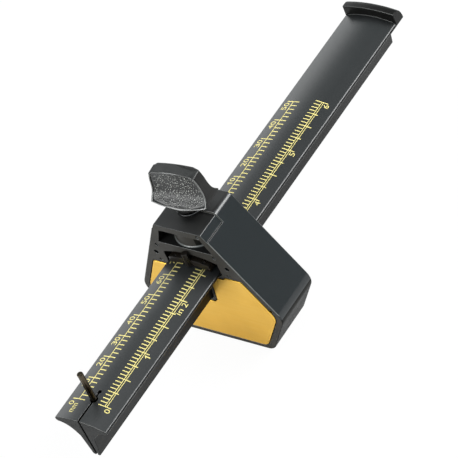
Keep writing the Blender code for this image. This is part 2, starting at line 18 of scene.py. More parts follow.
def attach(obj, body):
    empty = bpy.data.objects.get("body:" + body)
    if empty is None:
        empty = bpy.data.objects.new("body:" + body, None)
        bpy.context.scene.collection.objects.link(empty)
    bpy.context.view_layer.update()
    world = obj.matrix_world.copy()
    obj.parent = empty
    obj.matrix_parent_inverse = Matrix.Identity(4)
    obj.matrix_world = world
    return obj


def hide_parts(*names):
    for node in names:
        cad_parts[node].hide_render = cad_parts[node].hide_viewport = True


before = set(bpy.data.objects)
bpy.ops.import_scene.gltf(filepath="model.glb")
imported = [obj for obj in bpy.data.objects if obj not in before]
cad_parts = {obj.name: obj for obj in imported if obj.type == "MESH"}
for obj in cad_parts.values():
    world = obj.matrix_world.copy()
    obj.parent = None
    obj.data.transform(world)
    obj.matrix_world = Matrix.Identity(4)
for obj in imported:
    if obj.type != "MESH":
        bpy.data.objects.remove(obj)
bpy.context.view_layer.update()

LOG = logging.getLogger("marking_gauge")
Shape = bmesh.types.BMesh
Socket = bpy.types.NodeSocket
Point2 = tuple[float, float]
Point3 = tuple[float, float, float]

WELD = 0.000002  # points nearer than this are one
PAST = 0.002  # how far a cutter reaches past the face that it cuts
QUARTER = math.pi / 2
WHITE = (1.0, 1.0, 1.0, 1.0)
HIGHLIT_Y = (-0.93, -0.25)  # how the roundings that get a painted highlight face along Y
HIGHLIT_Z = 0.2  # and at least so far up
FINE_TURN = 42.0  # degrees past which an edge gets its fine rounding
CORNER_TURN = 60.0  # degrees past which it is an outer corner
FLAT_TURN = math.radians(0.3)  # faces that turn less are one
FLAT_FACE_WEIGHT = 80


class Cut(Enum):
    """How one body changes another."""

    AWAY = "DIFFERENCE"
    JOIN = "UNION"


class Body(Enum):
    """The part's moving bodies."""

    HEAD = "head"
    BEAM = "beam"
    PIN = "pin"
    SHOE = "shoe"
    KNOB = "knob"


# ---- finishes


@dataclass(frozen=True)
class Noise:
    """Noise over a piece: features in a metre, octaves, values used and scale along each axis."""

    scale: float
    detail: float
    used: Point2 = (0.3, 0.7)
    stretch: Point3 = (1.0, 1.0, 1.0)


Layers = tuple[tuple[Noise, float], ...]


class NodeSheet:
    """A node tree, with short ways to add and join nodes."""

    def __init__(self, owner: bpy.types.Material | bpy.types.World) -> None:
        """Start on the nodes of a material or a world.

        Args:
            owner: The material or world.
        """
        owner.use_nodes = True
        self.tree = owner.node_tree
        self.place = self.add("TexCoord")

    def feed(self, node: bpy.types.Node, inputs: Mapping[str | int, object]) -> None:
        """Set a node's inputs, or link them to other nodes.

        Args:
            node: The node.
            inputs: A value or another node's output for each input.
        """
        for key, value in inputs.items():
            if isinstance(value, Socket):
                self.tree.links.new(value, node.inputs[key])
            else:
                node.inputs[key].default_value = value

    def add(
        self, kind: str, inputs: Mapping[str | int, object] | None = None, **settings: object
    ) -> bpy.types.NodeOutputs:
        """Add a node.

        Args:
            kind: The node's type, without its prefix.
            inputs: A value or another node's output for each input.
            settings: The node's own properties by name.

        Returns:
            The new node's outputs.
        """
        node = self.tree.nodes.new("ShaderNode" + kind)
        for name, value in settings.items():
            setattr(node, name, value)
        self.feed(node, inputs or {})
        return node.outputs

    def noise(self, noise: Noise) -> Socket:
        """Noise in object coordinates, about 0 to 1."""
        place = self.add("Mapping", {"Scale": noise.stretch, "Vector": self.place["Object"]})[0]
        return self.add("TexNoise", {"Scale": noise.scale, "Detail": noise.detail, "Vector": place})["Fac"]

    def span(self, source: Socket, used: Point2, result: Point2, curve: str = "LINEAR") -> Socket:
        """Map one range of values on another, held at its ends.

        Args:
            source: The value to map.
            used: The source's range.
            result: The result's range.
            curve: How the result runs between its ends.

        Returns:
            The mapped value.
        """
        inputs = dict(zip(("From Min", "From Max", "To Min", "To Max"), used + result))
        return self.add("MapRange", inputs | {"Value": source}, interpolation_type=curve)["Result"]

    def tint(self, source: Socket, used: Point2, colours: Sequence[Point3]) -> Socket:
        """A colour between two others.

        Args:
            source: The value that chooses between them.
            used: The source's range, from the first colour to the second.
            colours: The two colours.

        Returns:
            The mixed colour.
        """
        share, first, second, result = 0, 6, 7, 2
        chosen = self.span(source, used, (0.0, 1.0))
        inputs = {share: chosen, first: (*colours[0], 1.0), second: (*colours[1], 1.0)}
        return self.add("Mix", inputs, data_type="RGBA")[result]

    def relief(self, heights: Sequence[tuple[Socket, float]]) -> Socket:
        """Raise the surface by several height fields, one over the other.

        Args:
            heights: Each field with its height in metres.

        Returns:
            The raised surface's normal.
        """
        below: dict[str, Socket] = {}
        for source, height in heights:
            inputs = {"Strength": 1.0, "Distance": height, "Height": source, **below}
            below = {"Normal": self.add("Bump", inputs)["Normal"]}
        return below["Normal"]


@dataclass(frozen=True)
class Pebbles:
    """Moulded pebbles on a finish of the base colour, their tops lighter as a painted glint."""

    base: Point3
    # colour of the pebbles' tops: a painted glint
    top: Point3 = (0.34, 0.34, 0.315)
    in_a_metre: float = 1450.0
    slope: Point2 = (0.08, 0.62)
    height: float = 0.00009
    glint_span: Point2 = (0.46, 0.86)


@dataclass(frozen=True)
class Finish:
    """Two colours in patches, roughness in smears and layers of fine relief, all from noise."""

    name: str
    colours: tuple[Point3, Point3]
    roughness: Point2
    patches: Noise
    smears: Noise
    layers: Layers
    metallic: float = 0.0
    gloss: float = 0.5
    pebbles: Pebbles | None = None

    def material(self) -> bpy.types.Material:
        """The finish's material, made when a piece first wears it."""
        return bpy.data.materials.get(self.name) or self.build()

    def build(self) -> bpy.types.Material:
        """Make the material.

        Returns:
            The finished material.
        """
        material = bpy.data.materials.new(self.name)
        sheet = NodeSheet(material)
        colour = sheet.tint(sheet.noise(self.patches), self.patches.used, self.colours)
        heights = [(sheet.noise(layer), height) for layer, height in self.layers]
        if self.pebbles:
            cells = {"Scale": self.pebbles.in_a_metre, "Vector": sheet.place["Object"]}
            tops = sheet.span(sheet.add("TexVoronoi", cells)["Distance"], self.pebbles.slope, (1.0, 0.0))
            heights.append((tops, self.pebbles.height))
            # the pebbles' tops take the lighter colour, a painted glint
            colour = sheet.tint(tops, self.pebbles.glint_span, (self.pebbles.base, self.pebbles.top))
        inputs = {
            "Metallic": self.metallic,
            "Specular IOR Level": self.gloss,
            "Base Color": colour,
            "Roughness": sheet.span(sheet.noise(self.smears), self.smears.used, self.roughness),
            "Normal": sheet.relief(heights),
        }
        sheet.feed(sheet.tree.nodes["Principled BSDF"], inputs)
        return material


SMEARS = Noise(260.0, 5.0, (0.32, 0.68), (1.0, 0.35, 1.0))
DRAWN_SMEARS = Noise(260.0, 5.0, (0.32, 0.68), (1.0, 0.04, 1.0))
PLASTIC_GRAIN = Noise(3200.0, 3.0)
BRUSHING = Noise(900.0, 4.0, stretch=(0.06, 1.0, 1.0))
TURNING = Noise(4200.0, 2.0, stretch=(0.08, 0.08, 1.0))
WIDE_TURNING = Noise(1800.0, 2.0, stretch=(0.08, 0.08, 1.0))


@dataclass(frozen=True)
class MouldedPlastic(Finish):
    """Dark moulded plastic with a fine grain, handling smears and, where asked, pebbles."""

    patches: Noise = Noise(95.0, 4.0)
    smears: Noise = SMEARS
    layers: Layers = ((PLASTIC_GRAIN, 0.000003),)


@dataclass(frozen=True)
class SatinBrass(Finish):
    """Sheet brass with a fine brushed grain and light tarnish."""

    patches: Noise = Noise(70.0, 5.0, (0.38, 0.72))
    smears: Noise = BRUSHING
    layers: Layers = ((BRUSHING, 0.0000018), (Noise(2600.0, 2.0), 0.0000025))
    metallic: float = 1.0


@dataclass(frozen=True)
class TurnedSteel(Finish):
    """Steel with turning marks and a thin oxide that varies in tone."""

    patches: Noise = Noise(160.0, 3.0, (0.35, 0.7))
    smears: Noise = TURNING
    layers: Layers = ((TURNING, 0.0000015),)
    metallic: float = 1.0


@dataclass(frozen=True)
class PrintedInk(Finish):
    """Hot-stamped ink, slightly uneven in strength and gloss."""

    patches: Noise = Noise(900.0, 4.0, (0.42, 0.78))
    smears: Noise = Noise(900.0, 4.0)
    layers: Layers = ((Noise(3800.0, 2.0), 0.000004),)
    gloss: float = 0.35


def clouded(colour: Point3, cloud: float = 0.14) -> tuple[Point3, Point3]:
    """A colour's darker and lighter shade."""
    dark, light = (tuple(channel * (1.0 + shade) for channel in colour) for shade in (-cloud, cloud))
    return dark, light


# the head's sides: black plastic whose bluish cast is painted reflection of the pale blue room
HEAD_SIDE = MouldedPlastic(
    "head_satin_plastic",
    clouded((0.0042, 0.0064, 0.0074), 0.05),
    (0.28, 0.28),
    layers=((PLASTIC_GRAIN, 0.0000015),),
    gloss=0.45,
)
HEAD_FACE = MouldedPlastic(
    "head_matte_plastic",
    clouded((0.032, 0.0300, 0.0265)),
    (0.45, 0.55),
    layers=((PLASTIC_GRAIN, 0.000008),),
    gloss=0.13,
)
# the flat tops: a lighter, rougher, less glossy copy of the head plastic
HEAD_TOP = MouldedPlastic("head_top_plastic", clouded((0.0105, 0.0105, 0.0102)), (0.39, 0.49), gloss=0.34)
# painted highlight: a much lighter, glossier copy of the head plastic for roundings that face the front lamp
HEAD_EDGE_HIGHLIGHT = MouldedPlastic("head_edge_highlight_plastic", clouded((0.10, 0.105, 0.10)), (0.25, 0.35), gloss=0.7)
# painted shade: a warmer, nearly unglossy copy of the head plastic for faces turned down or away
HEAD_UNDER_SHADE = MouldedPlastic("head_shaded_plastic", clouded((0.0060, 0.0058, 0.0048)), (0.45, 0.55), gloss=0.08)
BEAM_TOP = MouldedPlastic(
    "beam_satin_plastic", clouded((0.0135, 0.0145, 0.0148), 0.06), (0.328, 0.352), smears=DRAWN_SMEARS
)
# painted shade: a darker, nearly unglossy copy of the beam plastic for its sides, underside and lip
BEAM_SIDE_SHADE = MouldedPlastic("beam_side_shade_plastic", clouded((0.0062, 0.0060, 0.0056)), (0.31, 0.41), gloss=0.10)
# painted highlight: a much lighter, glossier copy of the beam plastic for roundings that face the front lamp
BEAM_EDGE_HIGHLIGHT = MouldedPlastic("beam_edge_highlight_plastic", clouded((0.055, 0.055, 0.052)), (0.25, 0.35), gloss=0.6)
KNOB_REST = MouldedPlastic("knob_satin_plastic", clouded((0.014, 0.0138, 0.0130)), (0.25, 0.35))
# painted shade: a darker, less glossy, rougher copy of the knob plastic for the wing's narrow sides
KNOB_SIDE_SHADE = MouldedPlastic("knob_side_shade_plastic", clouded((0.0100, 0.0097, 0.0090)), (0.39, 0.49), gloss=0.11)
# painted highlight: a much lighter, fully glossy copy of the knob plastic for the rims round the pebbled fields
KNOB_RIM_HIGHLIGHT = MouldedPlastic("knob_rim_highlight_plastic", clouded((0.085, 0.085, 0.080)), (0.17, 0.27), gloss=1.0)
KNOB_FIELD = MouldedPlastic(
    "knob_pebbled_plastic",
    clouded((0.008, 0.0080, 0.0074)),
    (0.21, 0.31),
    gloss=0.42,
    pebbles=Pebbles((0.008, 0.0080, 0.0074)),
)
# the shoe is black plastic; its brown cast is painted reflection of the brass plate and the scale's yellow ink
SHOE_PLASTIC = MouldedPlastic("shoe_plastic_brass_reflection", clouded((0.0085, 0.0062, 0.0040)), (0.23, 0.33))
BRASS = SatinBrass("fence_satin_brass", ((0.81, 0.50, 0.083), (0.75, 0.455, 0.070)), (0.37, 0.49))
PIN_STEEL = TurnedSteel("pin_dark_steel", ((0.078, 0.064, 0.045), (0.038, 0.027, 0.018)), (0.12, 0.26))
SCREW_STEEL = TurnedSteel("screw_bright_steel", ((0.48, 0.48, 0.49), (0.30, 0.29, 0.28)), (0.24, 0.38))
WASHER_STEEL = TurnedSteel(
    "washer_dark_steel",
    ((0.14, 0.14, 0.145), (0.09, 0.09, 0.09)),
    (0.14, 0.28),
    smears=WIDE_TURNING,
    layers=((WIDE_TURNING, 0.0000015),),
)
INK = PrintedInk("scale_yellow_ink", ((0.67, 0.58, 0.205), (0.54, 0.46, 0.155)), (0.42, 0.6))


# ---- mesh tools


def extrude(shape: Shape, way: Point3) -> None:
    """Extrude all of a shape's faces into closed bodies.

    Args:
        shape: The faces.
        way: How far they are extruded.
    """
    made = bmesh.ops.extrude_face_region(shape, geom=shape.faces[:])["geom"]
    moved = [item for item in made if isinstance(item, bmesh.types.BMVert)]
    bmesh.ops.translate(shape, verts=moved, vec=way)
    bmesh.ops.recalc_face_normals(shape, faces=shape.faces)


def prism(outline: Sequence[Point2], near_y: float, far_y: float) -> Shape:
    """A closed outline in X and Z, extruded along Y.

    Args:
        outline: The outline's points.
        near_y: Where it starts.
        far_y: Where it ends.

    Returns:
        The closed body.
    """
    shape = bmesh.new()
    shape.faces.new([shape.verts.new((x, near_y, z)) for x, z in outline])
    extrude(shape, (0.0, far_y - near_y, 0.0))
    return shape


def spun(profile: Sequence[Point2], steps: int, y: float = 0.0) -> Shape:
    """A profile spun about an upright axis in the plane X = 0.

    Args:
        profile: Radius and height of each corner, either from pole to pole or all off the axis.
        steps: Facets round the axis.
        y: The axis's place in Y.

    Returns:
        The closed body.
    """
    shape = bmesh.new()
    points = [shape.verts.new((radius, y, height)) for radius, height in profile]
    poles = min(radius for radius, _ in profile) <= 0.0
    pairs = zip(points, points[1:] if poles else points[1:] + points[:1])
    geom = points + [shape.edges.new(pair) for pair in pairs]
    bmesh.ops.spin(
        shape, geom=geom, cent=(0.0, y, 0.0), axis=(0.0, 0.0, 1.0), angle=math.tau, steps=steps, use_merge=True
    )
    bmesh.ops.remove_doubles(shape, verts=shape.verts, dist=WELD)
    bmesh.ops.recalc_face_normals(shape, faces=shape.faces)
    return shape


def rod(radius: float, low: float, high: float, centre: Point2 = (0.0, 0.0), steps: int = 48) -> Shape:
    """An upright rod.

    Args:
        radius: Its radius.
        low: Its lower end.
        high: Its upper end.
        centre: The axis's place in X and Y.
        steps: Facets round the axis.

    Returns:
        The closed body.
    """
    shape = bmesh.new()
    place = Matrix.Translation((*centre, (low + high) / 2))
    bmesh.ops.create_cone(
        shape, cap_ends=True, segments=steps, radius1=radius, radius2=radius, depth=high - low, matrix=place
    )
    return shape


def loft(rings: Sequence[Sequence[Point3]]) -> Shape:
    """A body bridged over closed rings of points, with its two ends filled.

    Args:
        rings: The rings, each with the same number of points.

    Returns:
        The closed body.
    """
    shape = bmesh.new()
    loops = []
    for ring in rings:
        points = [shape.verts.new(point) for point in ring]
        loops.append([shape.edges.new((points[index - 1], point)) for index, point in enumerate(points)])
    for lower, upper in zip(loops, loops[1:]):
        bmesh.ops.bridge_loops(shape, edges=lower + upper)
    for loop in (loops[0], loops[-1]):
        bmesh.ops.contextual_create(shape, geom=loop)
    bmesh.ops.recalc_face_normals(shape, faces=shape.faces)
    return shape


def put_in_scene(name: str, data: bpy.types.ID) -> bpy.types.Object:
    """Put an object in the scene.

    Args:
        name: The object's name.
        data: Its mesh, curve, light or camera.

    Returns:
        The object.
    """
    obj = bpy.data.objects.new(name, data)
    bpy.context.scene.collection.objects.link(obj)
    return obj


def new_mesh(shape: Shape, name: str) -> bpy.types.Mesh:
    """Turn a bmesh into a mesh and free it.

    Args:
        shape: The body.
        name: The mesh's name.

    Returns:
        The mesh.
    """
    mesh = bpy.data.meshes.new(name)
    shape.to_mesh(mesh)
    shape.free()
    return mesh


def evaluated_mesh(obj: bpy.types.Object) -> bpy.types.Mesh:
    """A new mesh of what an object and its modifiers make."""
    depsgraph = bpy.context.evaluated_depsgraph_get()
    return bpy.data.meshes.new_from_object(obj.evaluated_get(depsgraph))


def carve(body: Shape, others: Iterable[tuple[Shape, Cut]]) -> Shape:
    """Change a body by others, one after another.

    Args:
        body: The body to start from.
        others: Each other body and what it does.

    Returns:
        The changed body.
    """
    target = put_in_scene("carved", new_mesh(body, "carved"))
    scratch = [target]
    for other, cut in others:
        modifier = target.modifiers.new(cut.value, "BOOLEAN")
        modifier.operation = cut.value
        modifier.solver = "EXACT"
        modifier.object = put_in_scene("cutter", new_mesh(other, "cutter"))
        scratch.append(modifier.object)
    mesh = evaluated_mesh(target)
    shape = bmesh.new()
    shape.from_mesh(mesh)
    used = [mesh, *(obj.data for obj in scratch)]
    for obj in scratch:
        bpy.data.objects.remove(obj, do_unlink=True)
    for mesh in used:
        bpy.data.meshes.remove(mesh)
    bmesh.ops.remove_doubles(shape, verts=shape.verts, dist=WELD)
    bmesh.ops.dissolve_degenerate(shape, edges=shape.edges, dist=WELD)
    bmesh.ops.dissolve_limit(shape, angle_limit=FLAT_TURN, verts=shape.verts, edges=shape.edges)
    return shape


def bevel(shape: Shape, edges: Sequence[bmesh.types.BMEdge], width: float, steps: int) -> None:
    """Round some edges of a shape over a width, in some steps."""
    bmesh.ops.bevel(
        shape,
        geom=edges,
        offset=width,
        offset_type="OFFSET",
        segments=steps,
        profile=0.5,
        affect="EDGES",
        clamp_overlap=False,
        material=-1,
    )


def soften(
    shape: Shape, width: float, steps: int, angle: float, where: Callable[[Vector], bool] = lambda _: True
) -> None:
    """Round a body's sharp edges.

    Args:
        shape: The body.
        width: How far the rounding reaches from each edge.
        steps: Facets across the rounding.
        angle: Edges that turn less than this, in degrees, are left alone.
        where: Says by its middle whether an edge is rounded.
    """
    limit = math.radians(angle)
    sharp = [edge for edge in shape.edges if len(edge.link_faces) == 2 and edge.calc_face_angle(0.0) > limit]
    bevel(shape, [edge for edge in sharp if where((edge.verts[0].co + edge.verts[1].co) / 2)], width, steps)


def is_highlit_edge(normal: Vector) -> bool:
    """Whether a rounding faces up and to the near side, towards the front lamp, where it gets a painted highlight.
    """
    return HIGHLIT_Y[0] < normal.y < HIGHLIT_Y[1] and normal.z > HIGHLIT_Z


def mirrored(right_half: Sequence[Point2]) -> list[Point2]:
    """A closed outline from its right half, whose ends are on the middle or not."""
    return [*right_half, *((-x, z) for x, z in reversed(right_half) if x > WELD)]


def filleted(right_half: Sequence[Point3], steps: int = 10) -> list[Point2]:
    """A closed outline with round corners from its right half.

    Args:
        right_half: X, Z and radius of each corner.
        steps: Facets in each fillet.

    Returns:
        The whole outline.
    """
    corners = [*right_half, *((-x, z, radius) for x, z, radius in reversed(right_half))]
    points: list[Point2] = []
    for index, (x, z, radius) in enumerate(corners):
        corner = Vector((x, z))
        if radius <= 0.0:
            points.append((x, z))
            continue
        before = (Vector(corners[index - 1][:2]) - corner).normalized()
        after = (Vector(corners[(index + 1) % len(corners)][:2]) - corner).normalized()
        half_angle = before.angle(after) / 2
        centre = corner + (before + after).normalized() * (radius / math.sin(half_angle))
        start = corner + before * (radius / math.tan(half_angle)) - centre
        end = corner + after * (radius / math.tan(half_angle)) - centre
        sweep = start.angle_signed(end)
        for step in range(steps + 1):
            spoke = start.copy()
            spoke.rotate(Matrix.Rotation(-sweep * step / steps, 2))
            points.append((centre.x + spoke.x, centre.y + spoke.y))
    return points


def smooth_step(value: float, low: float, high: float) -> float:
    """A soft step from 0 at a low value to 1 at a high one."""
    share = min(1.0, max(0.0, (value - low) / (high - low)))
    return share * share * (3.0 - 2.0 * share)


def read_table(table: Sequence[Sequence[float]], place: float) -> list[float]:
    """Read smooth curves through a table's columns.

    Args:
        table: Rows that start with the place, rising.
        place: Where the curves are read.

    Returns:
        The value of each other column there.
    """
    last = len(table) - 1
    index = max(0, min(last - 1, sum(1 for row in table if row[0] <= place) - 1))
    first, second = table[index], table[index + 1]
    run = second[0] - first[0]
    share = min(1.0, max(0.0, (place - first[0]) / run))
    square, cube = share**2, share**3

    def slope(at: int, column: int) -> float:
        """A column's slope at a row."""
        low, high = table[max(0, at - 1)], table[min(last, at + 1)]
        return (high[column] - low[column]) / (high[0] - low[0])

    return [
        first[column] * (2 * cube - 3 * square + 1)
        + slope(index, column) * run * (cube - 2 * square + share)
        + second[column] * (3 * square - 2 * cube)
        + slope(index + 1, column) * run * (cube - square)
        for column in range(1, len(first))
    ]


def finish_piece(
    shape: Shape,
    name: str,
    body: Body,
    finishes: Sequence[Finish],
    replaces: Sequence[str] = (),
    sharp: float = 38.0,
) -> None:
    """Turn a body into a smooth, dressed piece that rides on the part.

    Args:
        shape: The body, in the part's frame. It is freed.
        name: The piece's name.
        body: The moving body that carries it.
        finishes: Its finishes, by face index.
        replaces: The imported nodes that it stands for.
        sharp: Edges that turn more than this, in degrees, stay sharp.
    """
    rough = new_mesh(shape, name)
    obj = put_in_scene(name, rough)
    for finish in finishes:
        rough.materials.append(finish.material())
    rough.shade_smooth()
    rough.set_sharp_from_angle(angle=math.radians(sharp))
    weighted = obj.modifiers.new("Flat faces stay flat", "WEIGHTED_NORMAL")
    weighted.mode = "FACE_AREA"
    weighted.weight = FLAT_FACE_WEIGHT
    weighted.keep_sharp = True
    mesh = evaluated_mesh(obj)
    obj.modifiers.clear()
    obj.data = mesh
    bpy.data.meshes.remove(rough)
    mesh.name = name
    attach(obj, body.value)
    if replaces:
        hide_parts(*replaces)
    LOG.info("%s: %d faces on %s", name, len(mesh.polygons), body.value)


# ---- shared places


@dataclass(frozen=True)
class Layout:
    """Places and sections that several sub-assemblies share."""

    crown_z: float = 0.0428
    beam_half_width: float = 0.0118
    crown_rise: float = 0.0019
    near_y: float = -0.01065
    far_y: float = 0.01065
    zero_y: float = -0.07805
    beam_near_y: float = -0.08715
    beam_far_y: float = 0.12535
    pin_y: float = -0.07675
    tip_thickness: float = 0.0018
    tip_inset: float = 0.0007
    hollow_reach: float = 0.56
    hollow_turn: Point2 = (0.14, 0.50)
    web_root_drop: float = 0.0092
    web_root_half: float = 0.0032
    web_foot_half: float = 0.00175
    web_foot_chamfer: float = 0.0005
    beam_depth: float = 0.0190

    def crown(self, x: float) -> float:
        """How far the crown has fallen at a distance from the middle."""
        radius = (self.beam_half_width**2 + self.crown_rise**2) / (2 * self.crown_rise)
        return radius - math.sqrt(max(0.0, radius * radius - x * x))

    def crown_line(self, half_width: float, height: float, steps: int = 20) -> list[Point2]:
        """Points along a line parallel to the crown.

        Args:
            half_width: How far it runs from the middle.
            height: Its height over the crown's middle.
            steps: Facets in it.

        Returns:
            Points from the middle to the right, in X and Z from the crown's middle.
        """
        xs = [half_width * step / steps for step in range(steps + 1)]
        return [(x, height - self.crown(min(x, self.beam_half_width))) for x in xs]

    def underside(self, steps: int = 16) -> list[Point2]:
        """The flange's hollow underside and the web.

        Args:
            steps: Facets in the hollow.

        Returns:
            Points from the right tip down to the middle, from the crown's middle.
        """
        tip_x, tip_z = self.beam_half_width, -self.crown_rise - self.tip_thickness
        across, down = self.hollow_turn
        start = Vector((tip_x - self.tip_inset, tip_z))
        first = Vector((tip_x * self.hollow_reach, tip_z))
        second = Vector((self.web_root_half + tip_x * across, tip_z - (self.web_root_drop + tip_z) * down))
        end = Vector((self.web_root_half, -self.web_root_drop))
        points: list[Point2] = [(tip_x, tip_z + self.tip_inset)]
        for step in range(steps + 1):
            t, rest = step / steps, 1 - step / steps
            spot = start * rest**3 + first * 3 * rest**2 * t + second * 3 * rest * t**2 + end * t**3
            points.append((spot.x, spot.y))
        foot, chamfer = self.web_foot_half, self.web_foot_chamfer
        points += [(foot, -self.beam_depth + chamfer), (foot - chamfer, -self.beam_depth), (0.0, -self.beam_depth)]
        return points

    def grown_underside(self, gap: float) -> list[Point2]:
        """The underside moved outward by a gap all along.

        Args:
            gap: How far it moves.

        Returns:
            Points from the right wall down to the middle, from the crown's middle.
        """
        line = [Vector(point) for point in self.underside()]
        moved: list[Point2] = []
        for index, point in enumerate(line):
            before = line[index - 1] if index else point + Vector((0.0, gap))
            after = line[index + 1] if index + 1 < len(line) else point - Vector((gap, 0.0))
            back, ahead = (point - before).normalized(), (after - point).normalized()
            first, second = Vector((-back.y, back.x)), Vector((-ahead.y, ahead.x))
            middle = (first + second).normalized()
            spot = point + middle * (gap / middle.dot(first))
            moved.append((spot.x, spot.y))
        return moved

    def opening(self, gap: float, headroom: float) -> list[Point2]:
        """The beam's section grown by a gap, with room over its crown.

        Args:
            gap: How far it grows all round.
            headroom: How far its top is over the crown.

        Returns:
            The closed outline in X and Z, in the part's frame.
        """
        right = self.crown_line(self.beam_half_width + gap, headroom) + self.grown_underside(gap)
        return [(x, z + self.crown_z) for x, z in mirrored(right)]


LAYOUT = Layout()


# ---- beam and scale


@dataclass(frozen=True)
class Beam:
    """The crowned T-section beam with its stop lip, slit and pin bore."""

    lip_length: float = 0.0050
    lip_height: float = 0.0038
    lip_top_length: float = 0.0018
    lip_crown_rise: float = 0.0011
    lip_slices: int = 32
    lip_steps: int = 12
    lip_foot: Point3 = (0.0012, 0.0004, 0.0004)
    slit_width: float = 0.0008
    slit_past_pin: float = 0.0036
    cut_depth: float = 0.022
    bore_radius: float = 0.00145
    relief_radius: float = 0.00080
    tip_rounding: float = 0.00055
    edge_rounding: float = 0.00020
    top_limit: float = 0.5

    def moulding(self) -> Shape:
        """The plain section, with its flange tips rounded.

        Returns:
            The closed body.
        """
        section = LAYOUT.crown_line(LAYOUT.beam_half_width, 0.0) + LAYOUT.underside()
        outline = [(x, z + LAYOUT.crown_z) for x, z in mirrored(section)]
        shape = prism(outline, LAYOUT.beam_near_y, LAYOUT.beam_far_y)
        edge_x = LAYOUT.beam_half_width - WELD
        tips = [edge for edge in shape.edges if all(abs(vert.co.x) > edge_x for vert in edge.verts)]
        long_tips = [edge for edge in tips if abs(edge.verts[0].co.y - edge.verts[1].co.y) > self.lip_length]
        bevel(shape, long_tips, self.tip_rounding, 5)
        return shape

    def lip_ring(self, x: float) -> list[Point3]:
        """The stop lip's outline at a distance from the middle.

        Args:
            x: The distance.

        Returns:
            The closed ring.
        """
        half, far = LAYOUT.beam_half_width, LAYOUT.beam_far_y
        crown = LAYOUT.crown_z - LAYOUT.crown(min(abs(x), half))
        top = LAYOUT.crown_z + self.lip_height - self.lip_crown_rise * (x / half) ** 2
        near = far - self.lip_length
        shoulder = near + self.lip_top_length
        root = crown - LAYOUT.tip_thickness / 2
        turns = [QUARTER * step / self.lip_steps for step in range(self.lip_steps + 1)]
        curve = [(shoulder + (far - shoulder) * math.sin(t), crown + (top - crown) * math.cos(t)) for t in turns]
        return [(x, y, z) for y, z in [(far, root), (near, root), (near, top), *curve]]

    def build(self) -> None:
        """Model and dress the beam."""
        half, middle = LAYOUT.beam_half_width, self.lip_slices / 2
        lip = loft([self.lip_ring(half * (step / middle - 1)) for step in range(self.lip_slices + 1)])
        low, high = LAYOUT.crown_z - self.cut_depth, LAYOUT.crown_z + PAST
        slit_end = LAYOUT.pin_y + self.slit_past_pin
        side = self.slit_width / 2
        cutters = (
            prism(mirrored([(side, high), (side, low)]), LAYOUT.beam_near_y - PAST, slit_end),
            rod(self.bore_radius, low, high, (0.0, LAYOUT.pin_y), 32),
            rod(self.relief_radius, low, high, (0.0, slit_end), 24),
        )
        shape = carve(self.moulding(), [(lip, Cut.JOIN), *((cutter, Cut.AWAY) for cutter in cutters)])
        lip_near = LAYOUT.beam_far_y - self.lip_length - self.edge_rounding
        foot_x, foot_y, foot_z = self.lip_foot

        def clear_of_lip_foot(spot: Vector) -> bool:
            """Whether a place is clear of the lip's two lower corners."""
            low_enough = spot.z < LAYOUT.crown_z - LAYOUT.crown_rise + foot_z
            return not (spot.y > lip_near - foot_y and abs(spot.x) > half - foot_x and low_enough)

        soften(shape, self.edge_rounding, 3, FINE_TURN, clear_of_lip_foot)
        for face in shape.faces:
            # roundings that face the front lamp take a painted highlight
            if is_highlit_edge(face.normal):
                face.material_index = 2
            # sides, underside and lip take painted shade
            elif face.normal.z < self.top_limit or face.calc_center_median().y > lip_near:
                face.material_index = 1
        finish_piece(shape, "beam_moulding", Body.BEAM, [BEAM_TOP, BEAM_SIDE_SHADE, BEAM_EDGE_HIGHLIGHT], ["beam"])


class Units(Enum):
    """The two systems that the scale is marked in."""

    MILLIMETRE = "mm"
    INCH = "in"


